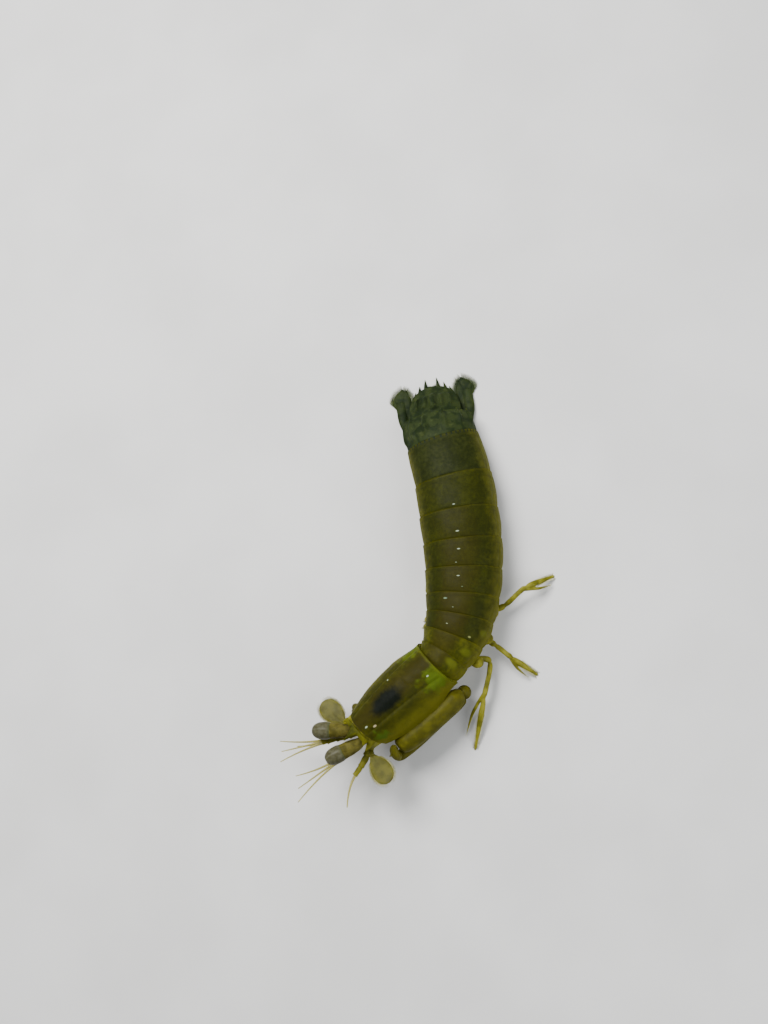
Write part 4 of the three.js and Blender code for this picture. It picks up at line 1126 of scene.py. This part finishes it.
def build_claw(side, sign):
    outward, girth, stretch, flare = CLAW_SET[side]

    def point(ahead, aside, above):
        behind = max(0.0, -ahead)
        return HEAD.at(ahead - 0.6 - stretch * behind, sign * (aside + outward + flare * behind), above)

    def hip(ahead, aside, above):
        return HEAD.at(ahead, sign * aside, CORE_BOTTOM + above)

    merus = Piece("merus_skin_" + side)
    merus.tube([(point(-8.0, 5.8, -0.95), 0.5, 0.5), (point(-7.6, 5.8, -0.95), girth * 0.6, 0.8),
                (point(-6.4, 6.0, -0.85), girth * 0.92, 1.75), (point(-2.5, 6.3, -0.8), girth * 1.02, 2.05),
                (point(2.0, 6.3, -0.75), girth * 1.02, 2.05), (point(5.2, 6.05, -0.7), girth * 0.92, 1.75),
                (point(6.6, 5.8, -0.65), girth * 0.7, 1.2), (point(7.0, 5.8, -0.6), girth * 0.4, 0.7)], 28, 6)
    merus.tube([(hip(-4.2, 2.9, 0.2), 0.8, 0.7), (hip(-4.4, 3.1, -0.4), 0.78, 0.66),
                (hip(-4.7, 3.5, -0.85), 0.68, 0.58), (point(-6.3, 4.8, -1.5), 0.78, 0.68),
                (point(-6.6, 5.7, -1.0), 0.6, 0.6)], 14, 5, HEAD.forward)
    merus.finish(CLAW_SKIN, "limb", "raptorial_merus_" + side, remesh=0.1)
    carpus = Piece("carpus_skin_" + side)
    carpus.tube([(point(7.3, 5.7, 0.55), 0.45, 0.4), (point(7.6, 5.7, 0.1), 0.85, 0.66),
                 (point(8.1, 5.9, -0.7), 1.27, 0.87), (point(8.3, 6.3, -1.5), 1.3, 0.97),
                 (point(8.25, 6.4, -2.4), 1.0, 0.86), (point(8.2, 6.4, -2.75), 0.6, 0.5)],
                20, 5, HEAD.forward)
    carpus.cone(point(8.9, 6.1, -0.7), point(9.5, 6.3, 0.2), 0.3)
    carpus.finish(CLAW_SKIN, "limb", "raptorial_carpus_" + side, remesh=0.09)
    palm = Piece("propodus_skin_" + side)
    palm.tube([(point(9.15, 6.1, -3.4), 0.3, 0.3), (point(8.8, 6.1, -3.6), 0.75, 0.75),
               (point(7.8, 6.15, -3.95), 1.1, 1.06), (point(4.5, 6.35, -4.15), 1.17, 1.12),
               (point(-1.5, 6.35, -4.1), 1.1, 0.96), (point(-6.0, 6.3, -3.8), 0.98, 0.8),
               (point(-7.2, 6.2, -3.7), 0.8, 0.64), (point(-7.6, 6.2, -3.7), 0.4, 0.3)], 24, 6)
    for i in range(14):
        palm.cone(point(6.5 - 0.9 * i, 5.75, -3.6), point(6.4 - 0.9 * i, 5.4, -3.35), 0.16, 7)
    palm.finish(CLAW_SKIN, "limb", "raptorial_propodus_" + side, remesh=0.09)
    club = Piece("dactyl_skin_" + side)
    club.ball(HEAD, point(-8.15, 5.3, -3.1), (1.45, 1.45, 1.4), 28, 18)
    club.tube([(point(-8.5, 5.7, -3.6), 0.9, 0.9), (point(-7.4, 5.0, -3.8), 0.58, 0.72),
               (point(-2.0, 4.85, -3.9), 0.5, 0.64), (point(3.0, 4.95, -3.9), 0.36, 0.44),
               (point(5.0, 5.1, -3.85), 0.12, 0.14)], 18, 8)
    club.finish(CLAW_SKIN, "limb", "raptorial_dactyl_" + side, remesh=0.085)


# The small maxillipeds: place along and beside the middle line.
MAXILLIPEDS = {"maxilliped_3": (-4.2, 0.9), "maxilliped_4": (-6.0, 2.0), "maxilliped_5": (-7.6, 3.1)}


def build_maxilliped(name, side, sign):
    root, aside = MAXILLIPEDS[name]

    def point(ahead, outward, above):
        return HEAD.at(root + ahead, sign * (aside + outward), CORE_BOTTOM + above)

    limb = Piece(name + "_skin_" + side)
    upward = HEAD.left * sign
    limb.segment(point(0, 0, 0.1), point(-0.2, 0, -1.35), 0.6, 0.58, 14, 0.65, upward)
    limb.segment(point(-0.25, 0, -1.2), point(0.6, 0, -2.3), 0.55, 0.52, 14, 0.65, upward)
    limb.segment(point(0.4, 0, -2.2), point(2.3, 0, -2.3), 0.5, 0.62, 14, 0.6, upward)
    limb.tube([(point(2.1, 0, -2.3), 0.35, 0.22), (point(2.6, 0, -2.28), 0.78, 0.34),
               (point(3.7, 0, -2.15), 1.05, 0.38), (point(4.8, 0, -2.02), 0.85, 0.34),
               (point(5.3, 0, -1.95), 0.35, 0.2)], 18, 6, upward)
    limb.cone(point(5.1, 0, -1.7), point(5.75, 0, -2.7), 0.2)
    limb.finish(LIMB_SKIN, "limb", name + "_" + side, remesh=0.08)
    brush = Piece(name + "_brush_" + side)
    for share in (i / 45 for i in range(46)):
        base = point(2.6 + 2.5 * share, 0, -2.3 - 0.85 * math.sin(math.pi * share) + 0.1)
        tip = base - HEAD.up * random.uniform(0.35, 0.55) + HEAD.forward * 0.25 * (share - 0.3)
        brush.hair(base, tip + HEAD.left * random.uniform(-0.12, 0.12), 0.025)
    brush.finish(BRISTLE_SKIN, "limb")


for side_name, side_sign in SIDES.items():
    build_claw(side_name, side_sign)
    for limb_name in MAXILLIPEDS:
        build_maxilliped(limb_name, side_name, side_sign)


# Walking legs: the ring that carries each, and its turn, knee and foot as ahead, aside and height.
LEGS = {
    "leg_1": ("thorax_6", {"left": ((-1.3, 7.6, 3.7), (5.2, 9.8, 3.4), (15.8, 12.4, 0)),
                           "right": ((-1.5, 6.0, 3.5), (-2.2, 7.5, 2.3), (-2.3, 8.0, 0))}),
    "leg_2": ("thorax_7", {"left": ((0.6, 7.4, 3.5), (2.2, 11.4, 4.2), (4.0, 17.0, 0)),
                           "right": ((-0.6, 6.0, 3.4), (-0.9, 7.5, 2.2), (-1.0, 8.0, 0))}),
    "leg_3": ("thorax_8", {"left": ((-1.6, 7.8, 3.5), (-5.6, 11.8, 4.0), (-9.0, 17.0, 0)),
                           "right": ((-1.2, 6.3, 3.3), (-3.2, 7.8, 2.4), (-5.4, 8.1, 0))}),
}
LEG_JOINTS = (0.2, 0.4, 0.6)
LEG_RINGS = 72
# Hips: place aside and half width.
HIP_BALLS = {"left": (5.7, 1.45), "right": (4.6, 0.9)}


def leg_girth(share):
    """Thinner towards the foot, with a swelling before each joint."""
    swell = sum(bump(share - joint + 0.015, 0.03) for joint in LEG_JOINTS)
    pinch = sum(bump(share - joint - 0.02, 0.014) for joint in LEG_JOINTS)
    blade = 0.2 * smooth((share - LEG_JOINTS[-1] - 0.02) / 0.1) * smooth((1.0 - share) / 0.3)
    return 0.74 - 0.44 * share + 0.08 * swell - 0.2 * pinch + blade


def build_leg(name, side, sign):
    ring_name, routes = LEGS[name]
    ring = frame_at(PARTS.index(ring_name) + 0.5)
    turn, knee, foot = (with_height(ring.at(ahead, sign * aside, 0), height)
                        for ahead, aside, height in routes[side])
    leg = Piece(name + "_skin_" + side)
    shin = lerp(knee, foot, 0.55) + v3(0, 0, 0.25)
    ankle = with_height(lerp(foot, knee, 0.07), 0.42)
    route = [ring.at(0, sign * 4.1, THORAX_STERNUM + 0.1), ring.at(-0.1, sign * 4.5, -1.2),
             turn, knee, shin, ankle]
    stations = []
    for share in (i / LEG_RINGS for i in range(LEG_RINGS + 1)):
        girth = leg_girth(share)
        stations.append((spline(route, 5 * share), girth, girth * (0.95 - 0.4 * share)))
    stations += [(foot + v3(0, 0, 0.2), 0.24, 0.16), (lerp(foot, knee, -0.03) + v3(0, 0, 0.12), 0.05, 0.05)]
    leg.tube(stations, 16, 1)
    hip_aside, hip_half = HIP_BALLS[side]
    leg.ball(ring, ring.at(-0.1, sign * hip_aside, -1.15), (1.25, hip_half, 0.95))
    outward = unit(with_height(foot - knee, 0))
    across = np.cross(v3(0, 0, 1), outward) * sign
    reach = np.linalg.norm(foot - knee)
    inner = [lerp(knee, turn, 0.1), lerp(knee, foot, 0.2) - across * 0.1 * reach,
             lerp(knee, foot, 0.4) - across * 0.16 * reach, lerp(knee, foot, 0.78) - across * 0.2 * reach]
    girths = ((0.34, 0.3), (0.36, 0.3), (0.3, 0.26), (0.06, 0.06))
    leg.tube([(place, *girth) for place, girth in zip(inner, girths)], 12, 6)
    leg.finish(LIMB_SKIN, "limb", name + "_" + side, remesh=0.085)
    brush = Piece(name + "_brush_" + side)
    for share in (i / 109 for i in range(110)):
        for edge in (1, -1):
            base = lerp(knee, foot, 0.35 + 0.62 * share) + v3(0, 0, 0.22 * math.sin(math.pi * share))
            base = base + across * edge * lerp(0.6, 0.26, share)
            heading = outward * 0.8 + across * edge * 0.75
            tip = base + heading * random.uniform(0.35, 0.6) * (0.6 + share * 0.6)
            brush.hair(base, with_height(tip, max(0.05, tip[2] - 0.12)), 0.025)
    for share in (i / 69 for i in range(70)):
        base = lerp(inner[2], inner[3], share)
        tip = base + (outward * 0.7 - across * random.uniform(-0.6, 0.8)) * random.uniform(0.5, 0.9)
        brush.hair(base, with_height(tip, max(0.05, tip[2] - 0.1)), 0.022)
    brush.finish(BRISTLE_SKIN, "limb")


for leg_name in LEGS:
    for side_name, side_sign in SIDES.items():
        build_leg(leg_name, side_name, side_sign)


# Swimming limbs and gills.
FLAP_WIDTH = 2.8
GILL_THREADS = 9


def build_pleopod(k, side, sign):
    ring = frame_at(PARTS.index(f"abdomen_{k}") + 0.62)
    drop = min(1.6, ring.origin[2] - 1.6)

    def point(ahead, aside, below):
        return ring.at(ahead, sign * aside, ABDOMEN_STERNUM - below)

    block = Piece(f"pleopod_{k}_block_{side}")
    block.tube([(point(0.1, 3.1, -0.1), 1.0, 0.6), (point(0, 3.1, 0.4), 1.35, 0.82),
                (point(-0.3, 3.15, 1.4), 1.25, 0.7), (point(-0.4, 3.2, 1.8), 0.8, 0.4)], 16, 5, ring.forward)
    block.finish(FLAP_SKIN, "limb", f"pleopod_{k}_{side}")
    flaps = Piece(f"pleopod_{k}_flaps_{side}")
    fringe = Piece(f"pleopod_{k}_fringe_{side}")
    for start, end in ((3.9, 4.7), (2.3, 1.7)):
        tip = ring.at(-5.4, sign * end, -drop)
        leaf = (point(-0.2, start, 1.5), tip, ring.up - ring.forward * 0.3, FLAP_WIDTH)
        add_leaf(flaps, *leaf, 0.3, 0.5, 0.08, 22)
        add_fringe(fringe, *leaf, 0.5, 0.8, 0.2, 42)
    flaps.finish(FLAP_SKIN, "limb")
    fringe.finish(BRISTLE_SKIN, "limb")
    gills = Piece(f"gills_{k}_{side}")
    for i in range(GILL_THREADS):
        start = point(-0.5 - 0.1 * i, 2.2 + 0.22 * i, 1.0)
        end = start + ring.forward * -0.9 + ring.up * -0.35 + ring.left * random.uniform(-0.4, 0.4)
        middle = lerp(start, end, 0.5) - ring.up * 0.15
        gills.tube([(start, 0.1, 0.1), (middle, 0.09, 0.09), (end, 0.04, 0.04)], 7, 4)
    gills.finish(GILL_SKIN, "limb")


for ring_number in range(1, 6):
    for side_name, side_sign in SIDES.items():
        build_pleopod(ring_number, side_name, side_sign)


# Stage: a pale floor, soft light and the camera.
FLOOR_HALF = 0.6


def build_stage():
    mesh = bpy.data.meshes.new("floor")
    corners = [(x * FLOOR_HALF, y * FLOOR_HALF, 0) for x, y in ((-1, -1), (1, -1), (1, 1), (-1, 1))]
    mesh.from_pydata(corners, [], [(0, 1, 2, 3)])
    floor = bpy.data.objects.new("floor", mesh)
    paint = Paint("floor_skin")
    paint.ground(paint.cloud(30.0), 0.3, 0.7, (0.62, 0.61, 0.59), (0.68, 0.67, 0.65))
    paint.set(Base_Color=paint.colour, Roughness=0.8)
    mesh.materials.append(paint.material)
    bpy.context.collection.objects.link(floor)


def add_light(name, place, size, power, tint):
    """A soft square light that shines on the middle of the body."""
    light = bpy.data.lights.new(name, "AREA")
    light.size = size
    light.energy = power
    light.color = tint
    lamp = bpy.data.objects.new(name, light)
    lamp.location = place
    lamp.rotation_euler = (Vector((0, 0, 0.01)) - Vector(place)).to_track_quat("-Z", "Y").to_euler()
    bpy.context.collection.objects.link(lamp)


def build_sky():
    world = bpy.data.worlds.new("world")
    bpy.context.scene.world = world
    world.use_nodes = True
    sky = world.node_tree.nodes["Background"].inputs
    sky["Color"].default_value = (0.9, 0.94, 1.0, 1)
    sky["Strength"].default_value = 0.35


def build_camera():
    right, up = PICTURE_RIGHT.normalized(), PICTURE_UP.normalized()
    back = right.cross(up).normalized()
    tip = Vector((*TIP_IN_PICTURE, 0)) - Vector(SHIFT)
    target = right * CENTRE_IN_PICTURE[0] + up * CENTRE_IN_PICTURE[1] + back * FOCUS_HEIGHT - tip
    camera = bpy.data.cameras.new("camera")
    camera.sensor_width = SENSOR_WIDTH
    camera.lens = SENSOR_WIDTH * CAMERA_DISTANCE / PICTURE_HEIGHT
    camera.clip_start = 0.01
    camera.clip_end = 5
    viewer = bpy.data.objects.new("camera", camera)
    turn = Matrix((right, up, back)).transposed()
    viewer.matrix_world = Matrix.Translation((target + back * CAMERA_DISTANCE) * MM) @ turn.to_4x4()
    bpy.context.collection.objects.link(viewer)
    bpy.context.scene.camera = viewer


build_stage()
build_camera()
add_light("key", (-0.12, 0.16, 0.34), 0.22, 3.2, (1, 1, 1))
add_light("fill", (0.3, -0.1, 0.26), 0.3, 1.2, (0.95, 0.98, 1.0))
build_sky()
